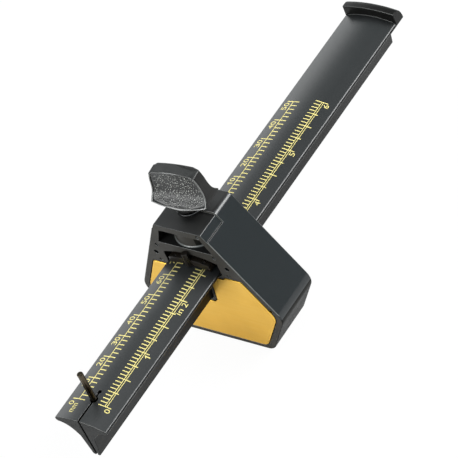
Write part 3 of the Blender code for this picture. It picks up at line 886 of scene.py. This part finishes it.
@dataclass(frozen=True)
class Scale:
    """The ruled scale: ticks, rules and figures in thin ink that follows the crown."""

    shape: Shape = field(default_factory=bmesh.new)
    ink_top: float = 0.000022
    ink_depth: float = 0.000060
    rule_width: float = 0.00029
    inch_rule_share: float = 0.85
    tick_width: float = 0.00039
    follow_length: float = 0.0010
    mm_rule_x: float = -0.0062
    mm_tick_end: float = -0.0034
    mm_major_start: float = -0.0091
    mm_figures_x: Point2 = (-0.00975, -0.00730)
    mm_figure_width: float = 0.00178
    mm_length: int = 150
    inch: float = 0.0254
    inches_long: int = 6
    inch_rules_x: Point2 = (0.0056, 0.0064)
    inch_tick_start: float = 0.00285
    inch_quarter_end: float = 0.00735
    inch_whole_end: float = 0.00825
    inch_zero_x: Point2 = (0.0064, 0.00855)
    inch_figures_x: Point2 = (0.0070, 0.00915)
    inch_figure_width: float = 0.00165
    figure_gap: float = 0.00030

    # how far a figure ends before its tick, at the zero and elsewhere
    mm_figure_leads: Point2 = (0.0011, 0.0008)
    inch_figure_leads: Point2 = (0.0006, 0.0005)

    # top and foot in X, end in Y from the scale's zero, and width
    mm_mark: tuple[Point2, float, float] = ((-0.0068, -0.0050), -0.0020, 0.0040)
    inch_mark: tuple[Point2, float, float] = ((0.0070, 0.0090), 0.0474, 0.0026)

    # the figure one, drawn with a foot as wide as its stem
    one: tuple[Point2, ...] = (
        (0.54, 0), (0.80, 0), (0.80, 1), (0.60, 1), (0.50, 0.88), (0.24, 0.80), (0.24, 0.64), (0.54, 0.68)
    )  # fmt: skip

    def stroke(self, x_span: Point2, y_span: Point2) -> None:
        """Lay one flat stroke, divided so that it can follow the crown.

        Args:
            x_span: Its two sides in X.
            y_span: Its two ends in Y, from the scale's zero.
        """
        width, length = x_span[1] - x_span[0], y_span[1] - y_span[0]
        middle = Vector((sum(x_span) / 2, LAYOUT.zero_y + sum(y_span) / 2, 0.0))
        place = Matrix.Translation(middle) @ Matrix.Diagonal((width / 2, length / 2, 1.0, 1.0))
        parts = max(1, round(width / self.follow_length))
        bmesh.ops.create_grid(self.shape, x_segments=parts, y_segments=1, size=1.0, matrix=place)

    def figure(self, words: str) -> bpy.types.Mesh:
        """One figure or unit mark, one unit wide and tall.

        Args:
            words: What it reads.

        Returns:
            The flat mesh, from its lower left corner.
        """
        if words == "1":
            shape = bmesh.new()
            shape.faces.new([shape.verts.new((x, y, 0.0)) for x, y in self.one])
            return new_mesh(shape, "figure")
        curve = bpy.data.curves.new("figure", "FONT")
        curve.body = words
        curve.resolution_u = 3
        curve.offset = 0.001
        holder = put_in_scene("figure", curve)
        mesh = evaluated_mesh(holder)
        bpy.data.objects.remove(holder, do_unlink=True)
        bpy.data.curves.remove(curve)
        xs, ys, _ = zip(*(vert.co for vert in mesh.vertices))
        size = Matrix.Diagonal((1 / (max(xs) - min(xs)), 1 / (max(ys) - min(ys)), 1.0, 1.0))
        mesh.transform(size @ Matrix.Translation((-min(xs), -min(ys), 0.0)))
        return mesh

    def lay(self, parts: Sequence[str], x_span: Point2, end: float, width: float) -> None:
        """Lay a number or a unit mark, read from the beam's right side.

        Args:
            parts: The number's figures, or the mark as one part.
            x_span: Top and foot in X.
            end: Where the last part ends in Y, from the scale's zero.
            width: Each part's width.
        """
        start = LAYOUT.zero_y + end - width * len(parts) - self.figure_gap * (len(parts) - 1)
        for index, part in enumerate(parts):
            mesh = self.figure(part)
            mesh.transform(
                Matrix.Translation((x_span[1], start + index * (width + self.figure_gap), 0.0))
                @ Matrix.Rotation(QUARTER, 4, "Z")
                @ Matrix.Diagonal((width, x_span[1] - x_span[0], 1.0, 1.0))
            )
            self.shape.from_mesh(mesh)
            bpy.data.meshes.remove(mesh)

    def millimetres(self) -> None:
        """Lay the millimetre side: its rule, a tick every two and a long one every ten."""
        half_rule, half_tick = self.rule_width / 2, self.tick_width / 2
        left, right = self.mm_rule_x - half_rule, self.mm_rule_x + half_rule
        self.stroke((left, right), (0.0, self.mm_length / 1000))
        for count in range(0, self.mm_length + 1, 2):
            y = count / 1000
            self.stroke((right, self.mm_tick_end), (y - half_tick, y + half_tick))
            if count % 10 == 0:
                self.stroke((self.mm_major_start, left), (y - half_tick, y + half_tick))
                words = str(count - 100 if count > 100 else count)
                end = y - self.mm_figure_leads[count > 0]
                self.lay(words, self.mm_figures_x, end, self.mm_figure_width)
        self.lay([Units.MILLIMETRE.value], *self.mm_mark)

    def inches(self) -> None:
        """Lay the inch side: its double rule, sixteenths, and longer ticks at quarters and halves."""
        half_rule, half_tick = self.rule_width / 2 * self.inch_rule_share, self.tick_width / 2
        inner, outer = self.inch_rules_x
        for x in (inner, outer):
            self.stroke((x - half_rule, x + half_rule), (0.0, self.inches_long * self.inch))
        for count in range(self.inches_long * 16 + 1):
            y = count * self.inch / 16
            span = (y - half_tick, y + half_tick)
            self.stroke((self.inch_tick_start, inner - half_rule), span)
            if count % 4:
                continue
            self.stroke((inner + half_rule, outer - half_rule), span)
            end = self.inch_quarter_end if count % 8 else self.inch_whole_end
            self.stroke((outer + half_rule, end), span)
            if count % 16 == 0:
                x_span = self.inch_figures_x if count else self.inch_zero_x
                end = y - self.inch_figure_leads[count > 0]
                self.lay(str(count // 16), x_span, end, self.inch_figure_width)
        self.lay([Units.INCH.value], *self.inch_mark)

    def build(self) -> None:
        """Model and dress the print."""
        self.millimetres()
        self.inches()
        for face in self.shape.faces:
            if face.normal.z < 0:
                face.normal_flip()
        extrude(self.shape, (0.0, 0.0, self.ink_depth))
        for vert in self.shape.verts:
            vert.co.z += LAYOUT.crown_z - LAYOUT.crown(vert.co.x) + self.ink_top - self.ink_depth
        finish_piece(self.shape, "scale_print", Body.BEAM, [INK], sharp=30.0)


@dataclass(frozen=True)
class MarkingPin:
    """The steel marking pin with its chamfered head and ground point."""

    # radius and height of each corner, from the top's middle to the point
    profile: tuple[Point2, ...] = (
        (0.0, 0.05704),
        (0.00058, 0.0571),
        (0.00083, 0.05707),
        (0.001038, 0.056956),
        (0.00115, 0.056748),
        (0.00115, 0.0292),
        (0.00109, 0.0290),
        (0.00022, 0.0264),
        (0.00010, 0.02615),
        (0.0, 0.0261),
    )

    def build(self) -> None:
        """Model and dress the pin."""
        shape = spun(self.profile, 40, LAYOUT.pin_y)
        finish_piece(shape, "marking_pin_steel", Body.PIN, [PIN_STEEL], ["marking_pin"], 24.0)


# ---- head and plate


@dataclass(frozen=True)
class Head:
    """The moulded head with its beam opening, window, boss and plate recess."""

    height: float = 0.0603
    raised_step: float = 0.0010
    top_half: float = 0.01125
    foot_half: float = 0.0205
    widest_half: float = 0.03265
    widest_z: float = 0.0206
    radii: Point3 = (0.0026, 0.0065, 0.0048)
    edge_rounding: float = 0.00050
    fine_rounding: float = 0.00014
    saddle_drop: float = 0.0032
    saddle_inset: float = 0.00055
    saddle_radius: float = 0.0005
    clearance: float = 0.0004
    headroom: float = 0.0045
    collar_wall: float = 0.0013
    window_floor_z: float = 0.0505
    window_height: float = 0.0069
    window_floor_half: float = 0.0122
    window_top_half: float = 0.0093
    window_depth: float = 0.0178
    boss_radius: float = 0.0096
    boss_fillet: float = 0.0007
    boss_fillet_steps: int = 5
    screw_radius: float = 0.0033
    plate_depth: float = 0.0016
    plate_side_margin: float = 0.0028
    plate_foot_margin: float = 0.0023
    plate_top_z: float = 0.0380
    plate_radii: Point3 = (0.0014, 0.0055, 0.0038)
    seat_gap: float = 0.0003
    flat_limit: float = 0.9
    under_limit: float = 0.02

    # two core holes and the near face's shallow marks, each with radius and depth
    hole_size: Point2 = (0.00095, 0.006)
    hole_places: tuple[Point2, ...] = ((-0.0162, 0.0438), (0.0162, 0.0438))
    mark_size: Point2 = (0.00075, 0.00050)
    mark_places: tuple[Point2, ...] = (
        (-0.0141, 0.0484), (-0.0156, 0.0398), (0.0124, 0.0487), (0.0152, 0.0396), (0.0089, 0.0588), (0.0281, 0.0244)
    )  # fmt: skip

    def shield(self, top_z: float, margin: float, radii: Point3) -> list[Point2]:
        """The head's outline, drawn in by a margin.

        Args:
            top_z: Its top edge.
            margin: How far its sides are drawn in.
            radii: Radii at the top, at the widest place and at the foot.

        Returns:
            The closed outline.
        """
        lean = (self.widest_half - self.top_half) / (self.height - self.widest_z)
        undercut = (self.widest_half - self.foot_half) / self.widest_z
        upper, lower = margin * math.hypot(1, lean), margin * math.hypot(1, undercut)
        middle_z = self.widest_z - (upper - lower) / (lean + undercut)
        floor_z = self.plate_foot_margin * margin / self.plate_side_margin
        sides = [
            (self.widest_half - upper - lean * (top_z - self.widest_z), top_z),
            (self.widest_half - upper - lean * (middle_z - self.widest_z), middle_z),
            (self.foot_half - lower + undercut * floor_z, floor_z),
        ]
        return filleted([(x, z, radius) for (x, z), radius in zip(sides, radii)])

    def plate_outline(self, gap: float) -> list[Point2]:
        """The fence plate's outer outline, grown by a gap."""
        radii = tuple(radius + gap for radius in self.plate_radii)
        return self.shield(self.plate_top_z + gap, self.plate_side_margin - gap, radii)

    def saddle(self) -> Shape:
        """What is cut away over the near half, its step's foot rounded.

        Returns:
            The closed cutter.
        """
        lean = (self.widest_half - self.top_half) / (self.height - self.widest_z)
        floor_z, step_x = self.height - self.saddle_drop, self.top_half - self.saddle_inset
        right = [
            (self.widest_half, self.height + 2 * PAST, 0.0),
            (self.widest_half, floor_z, 0.0),
            (step_x + lean * self.saddle_drop, floor_z, 0.0),
            (step_x, self.height, self.saddle_radius),
        ]
        return prism(filleted(right, 6), LAYOUT.near_y - PAST, 0.0)

    def window(self) -> Shape:
        """The window's cutter, with the round boss left standing in it.

        Returns:
            The closed cutter.
        """
        floor_z, fillet = self.window_floor_z, self.boss_fillet
        top_z = floor_z + self.window_height
        outline = mirrored([(self.window_top_half, top_z), (self.window_floor_half, floor_z)])
        shape = prism(outline, LAYOUT.near_y - PAST, LAYOUT.near_y + self.window_depth)
        profile = [(0.0, top_z + PAST), (self.boss_radius, top_z + PAST)]
        for step in range(self.boss_fillet_steps + 1):
            turn = QUARTER * step / self.boss_fillet_steps
            radius = self.boss_radius + fillet * (1 - math.cos(turn))
            profile.append((radius, floor_z + fillet * (1 - math.sin(turn))))
        profile += [(self.boss_radius + fillet, floor_z - PAST), (0.0, floor_z - PAST)]
        return carve(shape, [(spun(profile, 72), Cut.AWAY)])

    def recess(self) -> Shape:
        """The recess for the fence plate, with the collar left standing in it.

        Returns:
            The closed cutter.
        """
        near = LAYOUT.near_y
        shape = prism(self.plate_outline(self.seat_gap), near - PAST, near + self.plate_depth)
        collar = LAYOUT.opening(self.clearance + self.collar_wall, 0.0)
        return carve(shape, [(prism(collar, near - 2 * PAST, near + 2 * PAST), Cut.AWAY)])

    def bored(self, places: Sequence[Point2], size: Point2) -> list[Shape]:
        """Cutters of round holes in the near face.

        Args:
            places: Each hole's place in X and Z.
            size: The holes' radius and depth.

        Returns:
            The closed cutters.
        """
        holes = []
        for x, z in places:
            hole = rod(size[0], -size[1], PAST, steps=24)
            place = Matrix.Translation((x, LAYOUT.near_y, z)) @ Matrix.Rotation(QUARTER, 4, "X")
            bmesh.ops.transform(hole, matrix=place, verts=hole.verts)
            holes.append(hole)
        return holes

    def build(self) -> None:
        """Model and dress the head."""
        outline = self.shield(self.height + self.raised_step, 0.0, self.radii)
        shape = prism(outline, LAYOUT.near_y, LAYOUT.far_y)
        soften(shape, self.edge_rounding, 4, CORNER_TURN)
        opening = LAYOUT.opening(self.clearance, self.headroom)
        cutters = [
            self.saddle(),
            prism(opening, LAYOUT.near_y - PAST, LAYOUT.far_y + PAST),
            self.window(),
            self.recess(),
            rod(self.screw_radius, LAYOUT.crown_z, self.height + 2 * PAST),
            *self.bored(self.hole_places, self.hole_size),
            *self.bored(self.mark_places, self.mark_size),
        ]
        shape = carve(shape, [(cutter, Cut.AWAY) for cutter in cutters])
        soften(shape, self.fine_rounding, 3, FINE_TURN)
        for face in shape.faces:
            if face.normal.y < -self.flat_limit:
                face.material_index = 1
            elif face.normal.z > self.flat_limit:
                face.material_index = 2
            # roundings that face the front lamp take a painted highlight
            elif is_highlit_edge(face.normal):
                face.material_index = 3
            # faces turned down or away take painted shade
            elif face.normal.z < self.under_limit:
                face.material_index = 4
        finishes = [HEAD_SIDE, HEAD_FACE, HEAD_TOP, HEAD_EDGE_HIGHLIGHT, HEAD_UNDER_SHADE]
        finish_piece(shape, "head_moulding", Body.HEAD, finishes, ["head_body"])


@dataclass(frozen=True)
class FencePlate:
    """The brass fence plate, notched round the collar."""

    head: Head
    thickness: float = 0.0015
    stand: float = 0.0002
    rounding: float = 0.00028

    def build(self) -> None:
        """Model and dress the plate."""
        face_y = LAYOUT.near_y - self.stand
        shape = prism(self.head.plate_outline(0.0), face_y, face_y + self.thickness)
        gap = self.head.clearance + self.head.collar_wall + self.head.seat_gap
        notch = prism(LAYOUT.opening(gap, 0.0), face_y - PAST, face_y + 2 * PAST)
        shape = carve(shape, [(notch, Cut.AWAY)])
        soften(shape, self.rounding, 3, CORNER_TURN)
        finish_piece(shape, "fence_plate_brass", Body.HEAD, [BRASS], ["fence_plate"])


# ---- shoe, screw, washer, knob


@dataclass(frozen=True)
class Shoe:
    """The arched pressure shoe with a tab at each end and two small eyes."""

    half_width: float = 0.0092
    gap: float = 0.0003
    thickness: float = 0.0029
    overhang: float = 0.0015
    tab_radius: float = 0.00125
    tab_height: float = 0.0068
    eye_radius: float = 0.0006
    eye_x: float = 0.0066
    eye_depth: float = 0.0010
    rounding: float = 0.00016

    def build(self) -> None:
        """Model and dress the shoe."""
        upper, lower = (
            LAYOUT.crown_line(self.half_width, height, 14) for height in (self.gap + self.thickness, self.gap)
        )
        outline = mirrored([*upper, *reversed(lower)])
        near, far = LAYOUT.near_y - self.overhang, LAYOUT.far_y + self.overhang
        shape = prism([(x, z + LAYOUT.crown_z) for x, z in outline], near, far)
        low, high = LAYOUT.crown_z + 2 * self.gap, LAYOUT.crown_z + self.tab_height
        changes = [(rod(self.tab_radius, low, high, (0.0, end), 28), Cut.JOIN) for end in (near, far)]
        top = LAYOUT.crown_z + self.gap + self.thickness
        for x in (-self.eye_x, self.eye_x):
            eye = rod(self.eye_radius, top - self.eye_depth, top + PAST, (x, near + self.overhang / 2), 20)
            changes.append((eye, Cut.AWAY))
        shape = carve(shape, changes)
        soften(shape, self.rounding, 2, FINE_TURN)
        finish_piece(
            shape, "pressure_shoe_moulding", Body.SHOE, [SHOE_PLASTIC], ["pressure_shoe"]
        )


@dataclass(frozen=True)
class ClampScrew:
    """The clamp screw: a stud with a rolled thread."""

    # radius and height of each corner of the stud, from its top to its end
    profile: tuple[Point2, ...] = (
        (0.0, 0.0679),
        (0.00245, 0.0679),
        (0.00245, 0.0473),
        (0.0018, 0.0463),
        (0.0, 0.0463),
    )

    # radius and height of the thread's section, from its lowest turn's middle
    thread: tuple[Point2, ...] = ((0.00235, -0.00048), (0.0030, -0.00008), (0.0030, 0.00008), (0.00235, 0.00048))
    thread_start: float = 0.0478
    pitch: float = 0.0010
    turns: int = 19
    turn_steps: int = 28

    def build(self) -> None:
        """Model and dress the screw."""
        core = spun(self.profile, 40)
        finish_piece(core, "clamp_screw_core", Body.KNOB, [SCREW_STEEL], ["clamp_screw"], 30.0)
        shape = bmesh.new()
        face = shape.faces.new([shape.verts.new((x, 0.0, self.thread_start + z)) for x, z in self.thread])
        bmesh.ops.spin(
            shape,
            geom=[face, *face.edges, *face.verts],
            cent=(0.0, 0.0, 0.0),
            axis=(0.0, 0.0, 1.0),
            dvec=(0.0, 0.0, self.pitch / self.turn_steps),
            angle=math.tau * self.turns,
            steps=self.turn_steps * self.turns,
        )
        bmesh.ops.recalc_face_normals(shape, faces=shape.faces)
        finish_piece(shape, "clamp_screw_thread", Body.KNOB, [SCREW_STEEL], sharp=30.0)


@dataclass(frozen=True)
class Washer:
    """The washer between the knob and the head."""

    # radius and height of each corner, from the bore's upper edge to its lower one
    profile: tuple[Point2, ...] = (
        (0.0033, 0.0626),
        (0.00508, 0.0626),
        (0.005234, 0.062534),
        (0.0053, 0.06238),
        (0.0053, 0.06182),
        (0.005234, 0.061666),
        (0.00508, 0.0616),
        (0.0033, 0.0616),
    )

    def build(self) -> None:
        """Model and dress the washer."""
        shape = spun(self.profile, 72)
        finish_piece(shape, "knob_washer_steel", Body.KNOB, [WASHER_STEEL], ["knob_washer"], 30.0)


@dataclass(frozen=True)
class Knob:
    """The thumb knob: a thin wing with hollow pebbled faces over a round hub."""

    base_z: float = 0.0629
    turn: float = 6.0
    dish: float = 0.00075
    rim: float = 0.00030
    rim_drop: float = 0.00042
    rim_slope: float = 0.0005
    highlight_rim: float = 0.00060
    dish_slope: Point2 = (0.00060, 0.0038)
    plain_margin: float = 0.00115
    side_limit: float = 0.75
    field_limit: float = 0.6
    low_edge: Point3 = (0.0022, 0.0026, 0.02)
    high_edge: Point3 = (0.0186, 0.0007, 0.0009)
    shoulder: float = 0.84
    edge_margin: float = 0.0001
    least_margin: float = 0.00005
    across: int = 112
    levels: int = 92
    corner_steps: int = 5
    side_steps: int = 3

    # height over the base, half width, half thickness, corner radius
    sections: tuple[tuple[float, float, float, float], ...] = (
        (0.0020, 0.0117, 0.0056, 0.0007),
        (0.0040, 0.0119, 0.0056, 0.0006),
        (0.0050, 0.0119, 0.0051, 0.0006),
        (0.0058, 0.0119, 0.0044, 0.0006),
        (0.0067, 0.0118, 0.0037, 0.0006),
        (0.0078, 0.0116, 0.0031, 0.0006),
        (0.0092, 0.01135, 0.0027, 0.0006),
        (0.0112, 0.01105, 0.0025, 0.0006),
        (0.0134, 0.01075, 0.00245, 0.0006),
        (0.0152, 0.0103, 0.00245, 0.0006),
        (0.0170, 0.0097, 0.00245, 0.0006),
        (0.0186, 0.0090, 0.00240, 0.0007),
    )

    # radius and height of each ring of the hub, from the bore's roof round its foot
    hub: tuple[Point2, ...] = (
        (0.0033, 0.0053), (0.0033, 0.0), (0.00465, 0.0), (0.0049, 0.00025), (0.0050, 0.0012), (0.0054, 0.0019)
    )  # fmt: skip
    flare_shares: Point2 = (0.5, 0.93)

    # how far the crest's rings are drawn in and raised
    crest: tuple[Point2, ...] = ((0.00012, 0.00010), (0.00034, 0.00018))

    def edge_z(self, share: float) -> Point2:
        """Heights of the wing's lower and upper edge over the base.

        Args:
            share: Place across the wing, -1 to 1.

        Returns:
            The lower and the upper edge.
        """
        out = abs(share)
        foot, rise, blunt = self.low_edge
        top, fall, round_off = self.high_edge
        past = max(0.0, (out - self.shoulder) / (1 - self.shoulder))
        return foot + rise * math.sqrt(out * out + blunt), top - fall * out**2.2 - round_off * past**2

    def margin(self, share: float, z: float) -> float:
        """About how far a place on a broad face is from the face's edge.

        Args:
            share: Place across the face, -1 to 1.
            z: Height over the base.

        Returns:
            The distance.
        """
        low, high = self.edge_z(share)
        half_width, _, corner = read_table(self.sections, z)
        side = (1 - abs(share)) * (half_width - corner) + corner * 0.5
        spans = (side, z - low + self.edge_margin, high - z + self.edge_margin)
        return sum(max(span, self.least_margin) ** -4 for span in spans) ** -0.25

    def station(self, share: float, side: float, climb: float) -> Vector:
        """One point of the wing's broad face or side.

        Args:
            share: Place across the face, -1 to 1.
            side: -1 for the near face and 1 for the far one.
            climb: 0 at the lower edge and 1 at the upper one.

        Returns:
            The point, from the knob's base.
        """
        low, high = self.edge_z(share)
        z = low + (high - low) * climb
        half_width, half_thickness, corner = read_table(self.sections, z)
        margin = self.margin(share, z)
        depth = half_thickness - self.rim_drop * smooth_step(margin, self.rim, self.rim + self.rim_slope)
        depth -= (self.dish - self.rim_drop) * smooth_step(margin, *self.dish_slope)
        return Vector((share * (half_width - corner), side * depth, z))

    def ring(self, climb: float) -> list[Vector]:
        """One ring round the wing.

        Args:
            climb: 0 at the lower edge and 1 at the upper one.

        Returns:
            The ring's points, from the middle of the right side, counterclockwise.
        """
        end = self.station(1.0, 1.0, climb)
        corner = read_table(self.sections, end.z)[2]
        centre_y = end.y - corner
        turns = [QUARTER * step / self.corner_steps for step in range(self.corner_steps + 1)]
        arc = [(corner * math.cos(turn), corner * math.sin(turn)) for turn in turns]
        halves = [step / self.side_steps for step in range(self.side_steps)]
        first = [(end.x + corner, centre_y * share) for share in halves]
        first += [(end.x + x, centre_y + y) for x, y in arc[:-1]]
        last = [(-end.x - y, centre_y + x) for x, y in arc[1:]]
        last += [(-end.x - corner, centre_y * (1 - share)) for share in halves[1:]]
        points: list[Vector] = []
        for sign in (1.0, -1.0):
            points += [Vector((x * sign, y * sign, end.z)) for x, y in first]
            shares = [1 - 2 * step / self.across for step in range(self.across + 1)]
            points += [self.station(share * sign, sign, climb) for share in shares]
            points += [Vector((x * sign, y * sign, end.z)) for x, y in last]
        return points

    def dress(self, shape: Shape) -> None:
        """Tell the pebbled fields, their rims with a painted highlight and the sides with painted shade from the
        rest.

        Args:
            shape: The knob, before it is turned.
        """
        for face in shape.faces:
            middle = face.calc_center_median()
            # the narrow sides take painted shade
            if abs(face.normal.x) > self.side_limit:
                face.material_index = 1
            elif abs(face.normal.y) > self.field_limit and middle.z > self.edge_z(0.0)[0]:
                half_width, _, corner = read_table(self.sections, middle.z)
                share = middle.x / (half_width - corner)
                margin = self.margin(max(-1.0, min(1.0, share)), middle.z)
                if margin > self.plain_margin:
                    face.material_index = 2
                # the rims round each field take a painted highlight
                elif margin < self.highlight_rim:
                    face.material_index = 3

    def build(self) -> None:
        """Model and dress the knob."""
        wing = [self.ring(step / self.levels) for step in range(self.levels + 1)]
        _, half_width, half_thickness, _ = self.sections[0]
        spokes = [Vector((point.x / half_width, point.y / half_thickness)).normalized() for point in wing[0]]
        rings = [[Vector((radius * way.x, radius * way.y, z)) for way in spokes] for radius, z in self.hub]
        under = rings[-1]
        rings += [[low.lerp(high, share) for low, high in zip(under, wing[0])] for share in self.flare_shares]
        rings += wing
        rings += [[self.drawn_in(point, *step) for point in wing[-1]] for step in self.crest]
        shape = loft([[tuple(point) for point in ring] for ring in rings])
        self.dress(shape)
        place = Matrix.Translation((0.0, 0.0, self.base_z)) @ Matrix.Rotation(math.radians(self.turn), 4, "Z")
        bmesh.ops.transform(shape, matrix=place, verts=shape.verts)
        finishes = [KNOB_REST, KNOB_SIDE_SHADE, KNOB_FIELD, KNOB_RIM_HIGHLIGHT]
        finish_piece(shape, "thumb_knob_moulding", Body.KNOB, finishes, ["thumb_knob"], 50.0)

    def drawn_in(self, point: Vector, inset: float, rise: float) -> Vector:
        """A point of the top edge moved towards the wing's middle line and up."""
        x, y = (math.copysign(max(0.0, abs(reach) - inset), reach) for reach in point.xy)
        return Vector((x, y, point.z + rise))


# ---- studio


@dataclass(frozen=True)
class Lamp:
    """One soft box."""

    name: str
    place: Point3
    aim: Point3
    size: Point2
    power: float

    def build(self) -> None:
        """Hang the lamp and point it."""
        light = bpy.data.lights.new(self.name, "AREA")
        light.shape = "RECTANGLE"
        light.size, light.size_y = self.size
        light.energy = self.power
        holder = put_in_scene(self.name, light)
        holder.location = self.place
        back = Vector(self.place) - Vector(self.aim)
        holder.rotation_euler = back.to_track_quat("Z", "Y").to_euler()


@dataclass(frozen=True)
class Studio:
    """The pale floor, the surroundings, the lamps and the camera."""

    floor_size: float = 8.0
    floor_colour: Point3 = (0.86, 0.86, 0.86)
    floor_roughness: float = 0.9
    seen_glow: float = 0.96
    mirrored_glow: float = 0.30
    room: Point3 = (0.80, 0.95, 1.0)
    heights: Point2 = (0.05, 0.75)
    strengths: Point2 = (0.40, 0.36)
    camera_place: Point3 = (0.56256, -0.44646, 0.69640)
    camera_turn: Point3 = (44.7415, 18.7433, 32.8812)
    focal_length: float = 209.7
    sensor_width: float = 36.0
    clip: Point2 = (0.05, 20.0)
    lamps: tuple[Lamp, ...] = (
        Lamp("soft_box_left", (-1.28, 0.72, 0.55), (0.0, 0.02, 0.04), (1.5, 0.8), 8.1),
        Lamp("strip_right", (0.70, 0.60, 0.82), (0.0, 0.02, 0.04), (0.9, 0.5), 24.0),
        Lamp("soft_box_front", (-0.34, -0.94, 0.42), (0.0, 0.0, 0.04), (0.9, 0.7), 11.0),
        Lamp("overhead", (-0.30, 0.12, 1.15), (-0.05, 0.0, 0.04), (0.7, 0.7), 2.4),
    )

    def floor(self) -> None:
        """Lay the floor: pale, white to the camera, and it keeps the object's shadow."""
        shape = bmesh.new()
        bmesh.ops.create_grid(shape, x_segments=1, y_segments=1, size=self.floor_size / 2)
        obj = put_in_scene("studio_floor", new_mesh(shape, "studio_floor"))
        material = bpy.data.materials.new("studio_floor_white")
        sheet = NodeSheet(material)
        nodes = sheet.tree.nodes
        shader = nodes["Principled BSDF"]
        sheet.feed(shader, {"Base Color": (*self.floor_colour, 1.0), "Roughness": self.floor_roughness})
        glow = sheet.add("Emission", {"Color": WHITE, "Strength": 1.0})
        rays = sheet.add("LightPath")
        mirror = sheet.add("Math", {0: rays["Is Glossy Ray"], 1: rays["Is Transmission Ray"]}, operation="MAXIMUM")
        faint = sheet.add("Math", {0: mirror[0], 1: self.mirrored_glow}, operation="MULTIPLY")
        terms = {0: rays["Is Camera Ray"], 1: self.seen_glow, 2: faint[0]}
        share = sheet.add("Math", terms, operation="MULTIPLY_ADD")
        mix = sheet.add("MixShader", {0: share[0], 1: shader.outputs[0], 2: glow[0]})
        sheet.feed(nodes["Material Output"], {"Surface": mix[0]})
        obj.data.materials.append(material)

    def surroundings(self) -> None:
        """Light the room: pale at the horizon, greyer overhead, white to the camera."""
        world = bpy.data.worlds.new("studio_room")
        sheet = NodeSheet(world)
        nodes = sheet.tree.nodes
        height = sheet.add("SeparateXYZ", {0: sheet.place["Generated"]})["Z"]
        strength = sheet.span(height, self.heights, self.strengths, "SMOOTHSTEP")
        sheet.feed(nodes["Background"], {"Color": (*self.room, 1.0), "Strength": strength})
        white = sheet.add("Background", {"Color": WHITE})
        seen = sheet.add("LightPath")["Is Camera Ray"]
        mix = sheet.add("MixShader", {0: seen, 1: nodes["Background"].outputs[0], 2: white[0]})
        sheet.feed(nodes["World Output"], {"Surface": mix[0]})
        bpy.context.scene.world = world

    def camera(self) -> None:
        """Set the camera at the photograph's viewing angle."""
        data = bpy.data.cameras.new("photo_camera")
        data.sensor_width = self.sensor_width
        data.lens = self.focal_length
        data.clip_start, data.clip_end = self.clip
        holder = put_in_scene("photo_camera", data)
        holder.location = self.camera_place
        holder.rotation_euler = Euler([math.radians(angle) for angle in self.camera_turn], "XYZ")
        bpy.context.scene.camera = holder

    def build(self) -> None:
        """Set up the whole studio."""
        self.floor()
        self.surroundings()
        for lamp in self.lamps:
            lamp.build()
        self.camera()
        bpy.context.scene.view_settings.view_transform = "Standard"
        LOG.info("studio: floor, room, %d lamps and camera", len(self.lamps))


def main() -> None:
    """Build the studio and every sub-assembly in order."""
    logging.basicConfig(level=logging.INFO, format="%(name)s: %(message)s")
    Studio().build()
    head = Head()
    for assembly in (head, FencePlate(head), Beam(), Scale(), MarkingPin(), Shoe(), ClampScrew(), Washer(), Knob()):
        assembly.build()
    bpy.context.view_layer.update()


if __name__ == "__main__":
    main()
